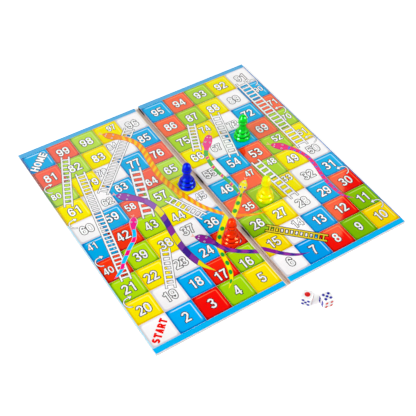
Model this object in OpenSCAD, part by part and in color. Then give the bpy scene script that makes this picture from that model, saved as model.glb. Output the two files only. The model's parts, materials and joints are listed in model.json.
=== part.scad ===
// Folding snakes and ladders board with four pawns and two dice.
// Millimetres, +Z up. The origin is on the table, at the middle of the spine between the two halves.
// +Y runs from the first row of squares to the last, +X from the left half to the right half.

/* [Squares] */
// Side of one square of the course
square = 24; // [22:0.5:30]
// Blue line outside the squares at the board's left and right edges
side_line = 0.9; // [0.5:0.1:3]
// Blue strip in front of the first row
front_strip = 5.2; // [3:0.1:10]
// Blue strip behind the last row
back_strip = 4.8; // [3:0.1:10]
// White margin between the left half's squares and its inner edge
inner_margin = 0.4; // [0.1:0.1:1]

/* [Board] */
// Thickness of a half without its ink
board_t = 3; // [2:0.1:5]
// Thickness of the printed sheet, the liner and the hinge tape
sheet_t = 0.3; // [0.2:0.05:0.5]
// Width of the printed sheet turned in under the board
turn_in = 12; // [6:1:20]
// Width of the hinge tape glued under each half
tape_flap = 10; // [5:1:20]
// Open width between the two halves
spine_gap = 4.8; // [4:0.2:8]
// Free crease on each side of the spine strip
crease = 0.6; // [0.6:0.05:1]
// Thickness of the spine strip
spine_t = 0.5; // [0.3:0.05:0.5]
// How much further back the right half is glued
right_shift = 0.9; // [0:0.1:2]

/* [Print] */
// Thickness of a layer of ink and film
ink_t = 0.03; // [0.02:0.01:0.1]
// Bare hairline around each coloured square
trap = 0.05; // [0.02:0.01:0.2]
// Width of a ladder's side rail
rail_w = 1.5; // [1:0.1:2]
// Width of a ladder's rung
rung_w = 1.2; // [0.8:0.1:2]

/* [Pawns] */
// Diameter of a pawn at its widest
pawn_d = 15.8; // [12:0.5:18]
// Height of a pawn
pawn_h = 27.4; // [20:0.2:32]

/* [Dice] */
// Edge of a die
die_edge = 9.5; // [8:0.5:12]
// Radius of the ball that trims a die's corners, in edges
die_trim = 0.72; // [0.7:0.01:0.8]
// Diameter of a small pip
pip_d = 1.9; // [1:0.1:2.2]
// Diameter of the single red pip
big_pip_d = 4.2; // [2:0.1:5]
// Distance of the corner pips from the middle of a face
pip_pitch = 2.2; // [2:0.1:2.6]

/* [Hidden] */

eps = 0.01;
left = -1;
right = 1;
rows = 10;
half_cols = 5;
half_w = half_cols * square;
course_h = rows * square;
print_z = board_t + ink_t;
figure_z = board_t + 2 * ink_t;

// Colours, in the order that they take along a row
square_colors = ["white", "deepskyblue", "red", "yellowgreen", "gold"];
border_color = "deepskyblue";
sheet_color = "whitesmoke";
core_color = "lightgray";
tape_color = "#a08f86";
liner_color = "#5a4438";

// Where the pawns stand, as columns and rows from the first square's outer corner
blue_at = [4.59, 5.45];
green_at = [7.55, 6.48];
yellow_at = [6.45, 3.36];
red_at = [4.50, 2.38];

// Where the dice lie on the table, and the direction that their front faces look in
left_die_at = [2.8, -145];
left_die_turn = -141.4;
right_die_at = [14.7, -154.7];
right_die_turn = -99.9;

// Lowest and highest corner of a half's outline
function x_low(side) = side < 0 ? -spine_gap / 2 - inner_margin - half_w - side_line : spine_gap / 2;
function x_high(side) = side < 0 ? -spine_gap / 2 : spine_gap / 2 + half_w + side_line;
function y_low(side) = -course_h / 2 - front_strip + (side < 0 ? 0 : right_shift);
function y_high(side) = course_h / 2 + back_strip + (side < 0 ? 0 : right_shift);

// Place of a point given in columns (0 to 10) and rows (0 to 10), on the half that prints it
function col_x(side, col) =
    (col - half_cols) * square + (side < 0 ? -spine_gap / 2 - inner_margin : spine_gap / 2);
function row_y(side, row) = (row - rows / 2) * square + (side < 0 ? 0 : right_shift);
function at(side, cell) = [col_x(side, cell[0]), row_y(side, cell[1])];

// Box from one corner to the other
module slab(x, y, z) {
    translate([x[0], y[0], z[0]])
        cube([x[1] - x[0], y[1] - y[0], z[1] - z[0]]);
}

// BOARD HALVES

// Stiff greyboard inside a half
module core_board(side) {
    outer = side < 0 ? x_low(side) + sheet_t : x_high(side) - sheet_t;
    inner = side < 0 ? x_high(side) - sheet_t : x_low(side) + sheet_t;
    color(core_color)
        slab([min(outer, inner), max(outer, inner)], [y_low(side) + sheet_t, y_high(side) - sheet_t],
            [sheet_t, board_t - sheet_t]);
}

// Printed sheet: the face, three wrapped edges and their turned-in margins
module print_sheet(side) {
    x = [x_low(side), x_high(side)];
    y = [y_low(side), y_high(side)];
    wall = side < 0 ? [x[0], x[0] + sheet_t] : [x[1] - sheet_t, x[1]];
    margin = side < 0 ? [x[0], x[0] + turn_in] : [x[1] - turn_in, x[1]];
    color(sheet_color) {
        slab(x, y, [board_t - sheet_t, board_t]);
        slab(wall, y, [0, board_t - sheet_t + eps]);
        slab(x, [y[0], y[0] + sheet_t], [0, board_t - sheet_t + eps]);
        slab(x, [y[1] - sheet_t, y[1]], [0, board_t - sheet_t + eps]);
        slab(margin, y, [0, sheet_t]);
        slab(x, [y[0], y[0] + turn_in], [0, sheet_t]);
        slab(x, [y[1] - turn_in, y[1]], [0, sheet_t]);
    }
}

// Brown paper that covers the underside between the margins
module back_liner(side) {
    x = side < 0
        ? [x_low(side) + turn_in, x_high(side) - tape_flap]
        : [x_low(side) + tape_flap, x_high(side) - turn_in];
    color(liner_color)
        slab(x, [y_low(side) + turn_in, y_high(side) - turn_in], [0, sheet_t]);
}

// Vinyl tape up the inner edge, with a flap glued under the half
module hinge_tape(side) {
    wall = side < 0 ? [x_high(side) - sheet_t, x_high(side)] : [x_low(side), x_low(side) + sheet_t];
    flap = side < 0 ? [x_high(side) - tape_flap, x_high(side)] : [x_low(side), x_low(side) + tape_flap];
    color(tape_color) {
        slab(wall, [y_low(side) + sheet_t, y_high(side) - sheet_t], [sheet_t, board_t - sheet_t]);
        slab(flap, [y_low(side) + turn_in, y_high(side) - turn_in], [0, sheet_t]);
        slab(wall, [y_low(side) + turn_in, y_high(side) - turn_in], [0, board_t - sheet_t]);
    }
}

// Link of the two creases, as long as the halves' common edge
module spine_strip() {
    x = spine_gap / 2 - crease;
    color(tape_color)
        slab([-x, x], [y_low(right), y_high(left)], [0, spine_t]);
}

// PRINT

// Blue strips at the front and back, joined by the line at the outer edge
module border_print(side) {
    x = [x_low(side), x_high(side)];
    y = [y_low(side), y_high(side)];
    line = side < 0 ? [x[0], x[0] + side_line - trap] : [x[1] - side_line + trap, x[1]];
    color(border_color) {
        slab(x, [y[0], y[0] + front_strip - trap], [board_t, print_z]);
        slab(x, [y[1] - back_strip + trap, y[1]], [board_t, print_z]);
        slab(line, y, [board_t, print_z]);
    }
}

// All squares of one colour on a half
module squares(side, paint) {
    first = side < 0 ? 0 : half_cols;
    color(square_colors[paint])
        for (col = [first : first + half_cols - 1])
            for (row = [0 : rows - 1])
                if ((col - row + rows) % 5 == paint) {
                    corner = at(side, [col, row]);
                    slab([corner[0] + trap, corner[0] + square - trap],
                        [corner[1] + trap, corner[1] + square - trap], [board_t, print_z]);
                }
}

// Ladders, each as foot, top, width between the rails' outer edges, and number of rungs.
// Places and widths are in squares.
left_ladders = [
    [[0.42, 6.82], [1.44, 9.18], 0.34, 12],
    [[0.59, 2.81], [1.53, 8.12], 0.38, 30],
    [[1.76, 6.73], [4.27, 9.26], 0.41, 21],
    [[2.61, 4.83], [3.39, 7.25], 0.45, 9],
    [[4.31, 3.81], [3.64, 5.27], 0.35, 7],
    [[1.68, 1.74], [2.37, 3.30], 0.35, 8]
];
right_ladders = [
    [[7.42, 2.83], [7.22, 5.14], 0.37, 8],
    [[9.29, 4.83], [9.33, 9.23], 0.47, 19],
    [[6.70, 5.74], [7.38, 8.21], 0.39, 9],
    [[5.67, 6.76], [6.25, 8.16], 0.34, 8]
];
gold_ladders = [
    [[7.21, 0.63], [5.66, 2.17], 0.32, 12]
];

// One ladder: two rails, and rungs spread evenly between them
module ladder(side, ladder) {
    foot = at(side, ladder[0]);
    top = at(side, ladder[1]);
    run = top - foot;
    length = norm(run);
    width = ladder[2] * square;
    rungs = ladder[3];
    pitch = length / (rungs + 0.6);
    translate([foot[0], foot[1], print_z])
        rotate(atan2(run[1], run[0])) {
            for (edge = [-width / 2, width / 2 - rail_w])
                translate([0, edge, 0])
                    cube([length, rail_w, ink_t]);
            for (i = [0 : rungs - 1])
                translate([(i + 0.8) * pitch - rung_w / 2, -width / 2 + rail_w / 2, 0])
                    cube([rung_w, width - rail_w, ink_t]);
        }
}

module ladders(side, list) {
    for (one = list)
        ladder(side, one);
}

// Snakes: points from the snout to the tail's tip, each as column, row and half width in squares
orange_left_path = [
    [3.23, 9.54, 0.03], [3.29, 9.47, 0.10], [3.37, 9.38, 0.158], [3.47, 9.26, 0.18], [3.58, 9.15, 0.17],
    [3.70, 9.04, 0.135], [3.82, 8.90, 0.115], [3.94, 8.75, 0.115], [4.11, 8.38, 0.12], [4.14, 7.90, 0.12], [4.06, 7.30, 0.12], [3.99, 6.48, 0.12],
    [4.07, 5.73, 0.115], [4.25, 5.00, 0.105], [4.49, 4.32, 0.095], [4.80, 3.80, 0.085], [5.15, 3.38, 0.08]
];
orange_right_path = [
    [4.85, 3.36, 0.085], [5.11, 3.21, 0.08], [5.38, 3.06, 0.07], [5.63, 2.93, 0.055], [5.90, 2.84, 0.035],
    [6.22, 2.79, 0.005]
];
violet_left_path = [
    [3.53, 3.20, 0.03], [3.575, 3.15, 0.095], [3.65, 3.08, 0.15], [3.72, 2.97, 0.183], [3.81, 2.85, 0.178],
    [3.90, 2.71, 0.122], [3.97, 2.56, 0.095], [4.03, 2.38, 0.09], [4.17, 2.12, 0.09], [4.40, 1.90, 0.09], [4.70, 1.68, 0.09], [5.15, 1.40, 0.09]
];
violet_right_path = [
    [4.85, 1.55, 0.09], [5.06, 1.40, 0.09], [5.25, 1.18, 0.085], [5.45, 0.95, 0.08], [5.68, 0.74, 0.07],
    [5.95, 0.57, 0.05], [6.29, 0.46, 0.005]
];
spotted_right_path = [
    [6.35, 4.50, 0.03], [6.32, 4.47, 0.06], [6.25, 4.42, 0.113], [6.15, 4.33, 0.157], [6.03, 4.21, 0.152],
    [5.94, 4.11, 0.078], [5.86, 4.02, 0.042], [5.77, 3.94, 0.055], [5.64, 3.83, 0.09], [5.35, 3.56, 0.105],
    [5.08, 3.33, 0.105], [4.85, 3.13, 0.105]
];
spotted_left_path = [
    [5.15, 3.52, 0.105], [4.98, 3.39, 0.105], [4.80, 3.24, 0.105], [4.50, 2.97, 0.105], [4.22, 2.69, 0.10],
    [4.02, 2.40, 0.097], [3.92, 2.05, 0.095], [3.85, 1.67, 0.092], [3.75, 1.30, 0.085], [3.62, 1.02, 0.07],
    [3.46, 0.83, 0.045], [3.27, 0.67, 0.005]
];
striped_path = [
    [2.14, 6.41, 0.03], [2.17, 6.37, 0.09], [2.23, 6.32, 0.14], [2.32, 6.21, 0.188], [2.43, 6.11, 0.185],
    [2.60, 5.95, 0.14], [2.74, 5.81, 0.115], [2.89, 5.60, 0.11], [3.02, 5.28, 0.115], [3.08, 4.85, 0.115], [3.04, 4.30, 0.11], [2.96, 3.75, 0.11],
    [2.91, 3.15, 0.11], [2.94, 2.65, 0.115], [3.00, 2.30, 0.11], [3.08, 2.02, 0.09], [3.19, 1.80, 0.055],
    [3.34, 1.56, 0.005]
];
candy_path = [
    [2.15, 5.15, 0.03], [2.11, 5.06, 0.11], [2.04, 4.93, 0.145], [1.95, 4.79, 0.11], [1.88, 4.66, 0.07],
    [1.81, 4.46, 0.06], [1.66, 4.22, 0.065], [1.38, 4.00, 0.065], [1.12, 3.76, 0.065], [0.86, 3.52, 0.065],
    [0.64, 3.27, 0.055], [0.43, 3.14, 0.04], [0.25, 3.07, 0.005]
];
green_path = [
    [6.52, 7.26, 0.03], [6.50, 7.235, 0.09], [6.45, 7.17, 0.135], [6.32, 7.02, 0.168], [6.17, 6.85, 0.162],
    [6.06, 6.71, 0.105], [6.00, 6.63, 0.088], [5.88, 6.48, 0.08], [5.78, 6.20, 0.075], [5.72, 5.85, 0.075],
    [5.72, 5.40, 0.072], [5.77, 4.95, 0.07], [5.81, 4.50, 0.065], [5.79, 4.15, 0.06], [5.75, 3.98, 0.05]
];
magenta_path = [
    [8.25, 5.53, 0.03], [8.27, 5.50, 0.055], [8.31, 5.47, 0.11], [8.39, 5.39, 0.156], [8.49, 5.29, 0.188],
    [8.59, 5.18, 0.185], [8.70, 5.06, 0.137], [8.82, 4.91, 0.10], [8.95, 4.66, 0.09], [9.04, 4.32, 0.085], [9.06, 3.92, 0.085], [9.01, 3.57, 0.085], [8.93, 3.20, 0.08],
    [8.89, 2.80, 0.075], [8.90, 2.35, 0.07], [8.96, 2.00, 0.055], [9.07, 1.80, 0.035], [9.22, 1.65, 0.005]
];

path_steps = 4;

// Smooth curve through the points of a path: the value between points b and c
function bend(a, b, c, d, t) =
    0.5 * (2 * b + t * (c - a) + t * t * (2 * a - 5 * b + 4 * c - d) + t * t * t * (3 * b - a - 3 * c + d));
function pick(path, i) = path[min(max(i, 0), len(path) - 1)];
function smooth(path) = concat(
    [for (i = [0 : len(path) - 2]) for (k = [0 : path_steps - 1])
        bend(pick(path, i - 1), path[i], path[i + 1], pick(path, i + 2), k / path_steps)],
    [path[len(path) - 1]]
);

// Point beside the curve, at the half width to the left (+1) or right (-1)
function beside(curve, i, way) =
    let (
        ahead = pick(curve, i + 1) - pick(curve, i - 1),
        along = [ahead[0], ahead[1]] / norm([ahead[0], ahead[1]])
    )
    [curve[i][0] - way * along[1] * curve[i][2], curve[i][1] + way * along[0] * curve[i][2]];

// Outline of a snake: down its left side and back up its right side
function snake_outline(side, path) =
    let (
        curve = smooth(path),
        last = len(curve) - 1
    )
    concat(
        [for (i = [0 : last]) at(side, beside(curve, i, 1))],
        [for (i = [last : -1 : 0]) at(side, beside(curve, i, -1))]
    );

// A snake's ink, grown in height by spare at the top and bottom when it is used as a cutter
module snake(side, path, spare = 0) {
    translate([0, 0, print_z - spare])
        linear_extrude(ink_t + 2 * spare)
            polygon(snake_outline(side, path));
}

// The part of a figure that lies on a half
module on_half(side) {
    intersection() {
        children();
        slab([x_low(side), x_high(side)], [y_low(side), y_high(side)], [print_z - 1, figure_z + 1]);
    }
}

module left_white_ladders() {
    color("white")
        difference() {
            ladders(left, left_ladders);
            snake(left, orange_left_path, eps);
            snake(left, striped_path, eps);
            snake(left, candy_path, eps);
        }
}

module right_white_ladders() {
    color("white")
        ladders(right, right_ladders);
}

module gold_ladder() {
    color("darkkhaki")
        ladders(right, gold_ladders);
}

module orange_snake_left() {
    color("orange")
        on_half(left)
            difference() {
                snake(left, orange_left_path);
                snake(left, spotted_left_path, eps);
            }
}

module orange_snake_right() {
    color("orange")
        on_half(right)
            difference() {
                snake(right, orange_right_path);
                snake(right, spotted_right_path, eps);
            }
}

module violet_snake_left() {
    color("darkorchid")
        on_half(left)
            snake(left, violet_left_path);
}

module violet_snake_right() {
    color("darkorchid")
        on_half(right)
            snake(right, violet_right_path);
}

module spotted_snake_left() {
    color("yellow")
        on_half(left)
            difference() {
                snake(left, spotted_left_path);
                snake(left, violet_left_path, eps);
            }
}

module spotted_snake_right() {
    color("yellow")
        on_half(right)
            snake(right, spotted_right_path);
}

module striped_snake() {
    color("rebeccapurple")
        snake(left, striped_path);
}

module candy_snake() {
    color("deeppink")
        snake(left, candy_path);
}

module green_snake() {
    color("mediumseagreen")
        difference() {
            snake(right, green_path);
            snake(right, spotted_right_path, eps);
        }
}

module magenta_snake() {
    color("deeppink")
        snake(right, magenta_path);
}

// PAWNS

// Half of a pawn's outline, in parts of its largest radius and of its height:
// three swelling tiers, a waist, a flared collar and a domed head
pawn_outline = [
    [0.88, 0.000], [0.97, 0.022], [1.00, 0.058], [0.99, 0.095], [0.93, 0.130], [0.85, 0.150],
    [0.835, 0.168], [0.87, 0.195], [0.865, 0.235], [0.80, 0.272], [0.70, 0.292], [0.655, 0.308],
    [0.675, 0.335], [0.64, 0.370], [0.58, 0.400], [0.525, 0.432], [0.475, 0.475], [0.435, 0.530],
    [0.415, 0.580], [0.415, 0.612], [0.455, 0.645], [0.535, 0.675], [0.56, 0.705], [0.545, 0.735],
    [0.50, 0.760], [0.485, 0.775], [0.50, 0.805], [0.485, 0.850], [0.44, 0.900], [0.36, 0.945],
    [0.24, 0.980]
];

module pawn(side, cell, paint) {
    place = at(side, cell);
    profile = smooth([for (p = pawn_outline) [p[0] * pawn_d / 2, p[1] * pawn_h]]);
    color(paint)
        translate([place[0], place[1], figure_z])
            rotate_extrude($fn = 96)
                polygon(concat([[0, 0]], profile, [[0.08 * pawn_d / 2, pawn_h], [0, pawn_h]]));
}

// DICE

// How far below a face the paint in its pips lies
pip_paint_depth = 0.12;

// Pips of one face, as places on a grid of -1, 0 and 1
function face_pips(n) =
    n == 1 ? [[0, 0]] :
    n == 2 ? [[-1, 1], [1, -1]] :
    n == 3 ? [[-1, 1], [0, 0], [1, -1]] :
    n == 4 ? [[-1, -1], [-1, 1], [1, -1], [1, 1]] :
    n == 5 ? [[-1, -1], [-1, 1], [0, 0], [1, -1], [1, 1]] :
    [[-1, -1], [0, -1], [1, -1], [-1, 1], [0, 1], [1, 1]];

// Turn that brings a face from the top to its place: top, front, right, back, left, bottom
face_turns = [[0, 0, 0], [0, 90, 0], [0, 90, 90], [0, 90, 180], [0, 90, 270], [180, 0, 0]];

// Radius of the ball that cuts a pip of diameter d, and how deep it cuts
function ball_r(d) = d * 0.8;
function ball_depth(d) = ball_r(d) - sqrt(ball_r(d) * ball_r(d) - d * d / 4);

// The balls of all pips whose face has a number in the list. faces holds the number on each face.
module pip_balls(faces, numbers) {
    for (f = [0 : 5])
        if (len(search(faces[f], numbers)) > 0)
            rotate(face_turns[f])
                for (p = face_pips(faces[f])) {
                    d = faces[f] == 1 ? big_pip_d : pip_d;
                    rise = ball_r(d) - ball_depth(d);
                    translate([p[0] * pip_pitch, p[1] * pip_pitch, die_edge / 2 + rise])
                        sphere(r = ball_r(d), $fn = 128);
                }
}

// Moves a die's pieces from the middle of the die to the table
module on_table(place, turn) {
    translate([place[0], place[1], die_edge / 2])
        rotate(turn)
            children();
}

module die_body(faces) {
    difference() {
        intersection() {
            cube(die_edge, center = true);
            sphere(r = die_trim * die_edge, $fn = 96);
        }
        pip_balls(faces, [1, 2, 3, 4, 5, 6]);
    }
}

// Paint in the bottom of the pips
module die_paint(faces, numbers) {
    intersection() {
        pip_balls(faces, numbers);
        cube(die_edge - 2 * pip_paint_depth, center = true);
    }
}

left_faces = [1, 5, 4, 2, 3, 6];
right_faces = [5, 4, 1, 3, 6, 2];
red_numbers = [1, 4];
blue_numbers = [2, 3, 5, 6];

module left_die() {
    color("white")
        on_table(left_die_at, left_die_turn)
            die_body(left_faces);
}

module left_die_red_pips() {
    color("red")
        on_table(left_die_at, left_die_turn)
            die_paint(left_faces, red_numbers);
}

module left_die_blue_pips() {
    color("navy")
        on_table(left_die_at, left_die_turn)
            die_paint(left_faces, blue_numbers);
}

module right_die() {
    color("white")
        on_table(right_die_at, right_die_turn)
            die_body(right_faces);
}

module right_die_red_pips() {
    color("red")
        on_table(right_die_at, right_die_turn)
            die_paint(right_faces, red_numbers);
}

module right_die_blue_pips() {
    color("navy")
        on_table(right_die_at, right_die_turn)
            die_paint(right_faces, blue_numbers);
}

core_board(left);  // left_core_board
core_board(right);  // right_core_board
print_sheet(left);  // left_print_sheet
print_sheet(right);  // right_print_sheet
back_liner(left);  // left_back_liner
back_liner(right);  // right_back_liner
hinge_tape(left);  // left_hinge_tape
hinge_tape(right);  // right_hinge_tape
spine_strip();
border_print(left);  // left_border_print
border_print(right);  // right_border_print
squares(left, 0);  // left_white_squares
squares(left, 1);  // left_blue_squares
squares(left, 2);  // left_red_squares
squares(left, 3);  // left_green_squares
squares(left, 4);  // left_yellow_squares
squares(right, 0);  // right_white_squares
squares(right, 1);  // right_blue_squares
squares(right, 2);  // right_red_squares
squares(right, 3);  // right_green_squares
squares(right, 4);  // right_yellow_squares
left_white_ladders();
right_white_ladders();
gold_ladder();
orange_snake_left();
orange_snake_right();
violet_snake_left();
violet_snake_right();
spotted_snake_left();
spotted_snake_right();
striped_snake();
candy_snake();
green_snake();
magenta_snake();
pawn(left, blue_at, "blue");  // blue_pawn
pawn(right, green_at, "limegreen");  // green_pawn
pawn(right, yellow_at, "yellow");  // yellow_pawn
pawn(left, red_at, "orangered");  // red_pawn
left_die();
left_die_red_pips();
left_die_blue_pips();
right_die();
right_die_red_pips();
right_die_blue_pips();
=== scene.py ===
import json
import math

import bmesh
import bpy
import numpy as np
from mathutils import Matrix, Vector
from mathutils.geometry import delaunay_2d_cdt


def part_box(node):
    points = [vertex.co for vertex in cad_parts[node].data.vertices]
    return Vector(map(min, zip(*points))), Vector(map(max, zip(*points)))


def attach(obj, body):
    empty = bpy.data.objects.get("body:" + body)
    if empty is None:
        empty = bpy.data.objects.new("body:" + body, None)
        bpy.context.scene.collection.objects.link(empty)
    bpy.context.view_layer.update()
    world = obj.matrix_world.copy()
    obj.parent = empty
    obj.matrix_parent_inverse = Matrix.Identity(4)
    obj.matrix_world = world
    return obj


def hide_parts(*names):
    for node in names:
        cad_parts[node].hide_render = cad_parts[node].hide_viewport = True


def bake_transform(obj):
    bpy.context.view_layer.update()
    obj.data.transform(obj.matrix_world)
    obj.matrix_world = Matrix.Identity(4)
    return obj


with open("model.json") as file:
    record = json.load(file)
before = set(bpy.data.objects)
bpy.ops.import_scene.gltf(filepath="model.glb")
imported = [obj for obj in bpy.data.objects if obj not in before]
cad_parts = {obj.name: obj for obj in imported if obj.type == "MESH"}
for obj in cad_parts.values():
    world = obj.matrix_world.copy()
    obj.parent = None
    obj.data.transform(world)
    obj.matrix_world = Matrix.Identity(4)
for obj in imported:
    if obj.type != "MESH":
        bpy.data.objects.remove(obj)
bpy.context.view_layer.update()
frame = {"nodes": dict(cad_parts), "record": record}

mm = 0.001
nodes = frame["nodes"]
halves = ("left", "right")

# Small tools


def toLinear(hexColor):
    channels = [int(hexColor[i:i + 2], 16) / 255 for i in (1, 3, 5)]
    linear = [c / 12.92 if c <= 0.04045 else ((c + 0.055) / 1.055) ** 2.4 for c in channels]
    return (*linear, 1)


def addNode(tree, kind, inputs=None, **settings):
    # inputs: socket name or number -> value, hex color, socket, or node whose first output is meant
    node = tree.nodes.new(kind)
    for key, value in settings.items():
        setattr(node, key, value)
    for key, value in (inputs or {}).items():
        if isinstance(value, bpy.types.Node):
            value = value.outputs[0]
        elif isinstance(value, str):
            value = toLinear(value)
        if isinstance(value, bpy.types.NodeSocket):
            tree.links.new(value, node.inputs[key])
        else:
            node.inputs[key].default_value = value
    return node


def maths(tree, operation, *values):
    return addNode(tree, "ShaderNodeMath", dict(enumerate(values)), operation=operation)


def vectorMaths(tree, operation, *values):
    return addNode(tree, "ShaderNodeVectorMath", dict(enumerate(values)), operation=operation)


def remap(tree, value, *span, smooth=False):
    # span: the value's low and high end, then those of the result if they aren't 0 and 1
    return addNode(tree, "ShaderNodeMapRange", dict(enumerate((value, *span))),
                   interpolation_type="SMOOTHSTEP" if smooth else "LINEAR")


def mixColor(tree, amount, color, other):
    return addNode(tree, "ShaderNodeMix", {0: amount, 6: color, 7: other}, data_type="RGBA").outputs[2]


def split(tree, vector):
    return addNode(tree, "ShaderNodeSeparateXYZ", {0: vector}).outputs


def attribute(tree, name):
    return addNode(tree, "ShaderNodeAttribute", attribute_name=name).outputs["Fac"]


def noise(tree, place, size, detail=2.0, distortion=0.0):
    # size of its swellings in mm
    return addNode(tree, "ShaderNodeTexNoise", {"Vector": place, "Scale": 1 / (size * mm), "Detail": detail,
                                                "Distortion": distortion}).outputs[0]


def ramp(tree, factor, stops, constant=False):
    node = addNode(tree, "ShaderNodeValToRGB", {0: factor})
    node.color_ramp.interpolation = "CONSTANT" if constant else "LINEAR"
    elements = node.color_ramp.elements
    while len(elements) > 1:
        elements.remove(elements[-1])
    for i, (position, color) in enumerate(stops):
        element = elements[0] if i == 0 else elements.new(position)
        element.position = position
        element.color = toLinear(color)
    return node.outputs[0]


def emptyTree(owner):
    owner.use_nodes = True
    owner.node_tree.nodes.clear()
    return owner.node_tree


def newMaterial(name, shader):
    # shader: settings of the Principled BSDF that are the same all over the surface
    material = bpy.data.materials.new(name)
    tree = emptyTree(material)
    bsdf = addNode(tree, "ShaderNodeBsdfPrincipled", shader)
    addNode(tree, "ShaderNodeOutputMaterial", {"Surface": bsdf})
    return material, tree, addNode(tree, "ShaderNodeTexCoord").outputs["Object"]


def finished(material, color, relief, depth):
    # the material with its color and its relief, whose depth is in mm
    tree = material.node_tree
    bsdf = next(node for node in tree.nodes if node.type == "BSDF_PRINCIPLED")
    bump = addNode(tree, "ShaderNodeBump", {"Height": relief, "Distance": depth * mm, "Strength": 1.0})
    tree.links.new(color, bsdf.inputs["Base Color"])
    tree.links.new(bump.outputs[0], bsdf.inputs["Normal"])
    return material


def addObject(name, data):
    thing = bpy.data.objects.new(name, data)
    bpy.context.scene.collection.objects.link(thing)
    return thing


def addPiece(name, mesh, material, body, replaced=()):
    piece = addObject(name, mesh)
    mesh.materials.append(material)
    if body:
        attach(piece, body)
    if replaced:
        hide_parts(*replaced)
    return piece


def repaint(nodeName, material):
    slots = nodes[nodeName].data.materials
    slots.clear()
    slots.append(material)


def meshFrom(name, verts, faces, smooth=False):
    mesh = bpy.data.meshes.new(name)
    mesh.from_pydata([tuple(v) for v in verts], [], [tuple(f) for f in faces])
    mesh.validate()
    if smooth:
        mesh.shade_smooth()
    return mesh


def ringFaces(rings, count):
    # quads between rings of the same number of points, each ring closed
    return [(i * count + k, i * count + (k + 1) % count, (i + 1) * count + (k + 1) % count, (i + 1) * count + k)
            for i in range(rings - 1) for k in range(count)]


def setValues(mesh, name, values):
    mesh.attributes.new(name, "FLOAT", "POINT").data.foreach_set("value", values)


def outward(mesh, joinWithin=0.0):
    # turns the faces outward, once points nearer than that are one
    work = bmesh.new()
    work.from_mesh(mesh)
    if joinWithin:
        bmesh.ops.remove_doubles(work, verts=work.verts[:], dist=joinWithin)
    bmesh.ops.recalc_face_normals(work, faces=work.faces[:])
    work.to_mesh(mesh)
    work.free()
    return mesh


# The course: ten rows of ten squares, five columns on each half

course = {
    "trap": 0.05 * mm,  # bare hairline around each square
    "halfCols": 5,
    "firstCol": {"left": 0, "right": 5},
}
inkBox = {side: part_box(f"{side}_white_squares") for side in halves}
sheetBox = {side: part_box(f"{side}_print_sheet") for side in halves}
cell = (inkBox["left"][1].x - inkBox["left"][0].x + 2 * course["trap"]) / course["halfCols"]
boardTop = sheetBox["left"][1].z
printTop = inkBox["left"][1].z
gridOrigin = {side: Vector((inkBox[side][0].x - course["trap"] - course["firstCol"][side] * cell,
                            inkBox[side][0].y - course["trap"])) for side in halves}
halfBody = {"left": "left_half", "right": "right_half"}


def at(side, col, row):
    return (gridOrigin[side].x + col * cell, gridOrigin[side].y + row * cell)


def sideOf(col):
    return "left" if col < course["halfCols"] else "right"


print("course: square %.2f mm, print top %.3f mm" % (cell / mm, printTop / mm))

# Camera, at the photograph's viewing angle

cameraRig = {
    "lens": 74.355,  # mm
    "sensor": 36,  # mm
    "azimuth": -33.051,
    "elevation": 48.207,
    "roll": 0.671,
    "distance": 0.7444,
    "target": (-0.01129, -0.02171, 0.003),
    "farthest": 50,
}


def addCamera():
    azimuth, elevation, roll = (math.radians(cameraRig[key]) for key in ("azimuth", "elevation", "roll"))
    back = Vector((math.sin(azimuth) * math.cos(elevation), -math.cos(azimuth) * math.cos(elevation),
                   math.sin(elevation)))
    data = bpy.data.cameras.new("camera")
    data.lens = cameraRig["lens"]
    data.sensor_width = cameraRig["sensor"]
    data.clip_end = cameraRig["farthest"]
    camera = addObject("camera", data)
    turn = back.to_track_quat("Z", "Y").to_matrix().to_4x4() @ Matrix.Rotation(roll, 4, "Z")
    camera.matrix_world = Matrix.Translation(Vector(cameraRig["target"]) + back * cameraRig["distance"]) @ turn
    bpy.context.scene.camera = camera


addCamera()
print("camera placed")

# Studio: white floor, even fill and two softboxes whose reflection veils the back of the board

studio = {
    "fill": 0.30,  # even light of the room
    "mirrorHigh": 0.10,  # what gloss sees of the room overhead
    "ceilingEdge": (0.30, 0.62),  # height, of 1, over which the room darkens from the horizon to the ceiling
    "floorSeen": 1.5,
    "floorBounce": 0.80,
    "floorFade": (0.3, 0.6, 0.4, 1.0),  # metres from the board, and how much of it is plain white there
    "floorHalf": 4.0,
    "floorDrop": 0.0001,
    "opening": 0.001,  # from the board's edge inwards
    "softboxHeight": 1.0,
    "softboxRadiance": 2.8,
    "softboxes": {  # a corner of the mirror image in the print and the two sides that run from it, in squares
        "softboxRight": ((7.6, 0.55), (-9.0, 8.0), (6.0, 6.4)),
        "softboxLeft": ((2.6, 4.95), (-4.2, 0.0), (0.0, 9.0)),
    },
    "lamps": {  # direction, distance, width and height in metres, radiance, and whether it only makes the
                # highlights of the pawns and dice
        "keyLeft": ((-0.80, -0.06, 0.54), 1.3, 1.15, 0.75, 4.8, False),
        "keyRight": ((0.53, -0.61, 0.62), 1.3, 0.80, 0.65, 4.8, False),
        "gleamLeft": ((-0.864, -0.060, 0.50), 1.2, 0.48, 1.30, 62.0, True),
        "gleamRight": ((0.568, -0.654, 0.50), 1.2, 0.36, 1.30, 54.0, True),
    },
}


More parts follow.
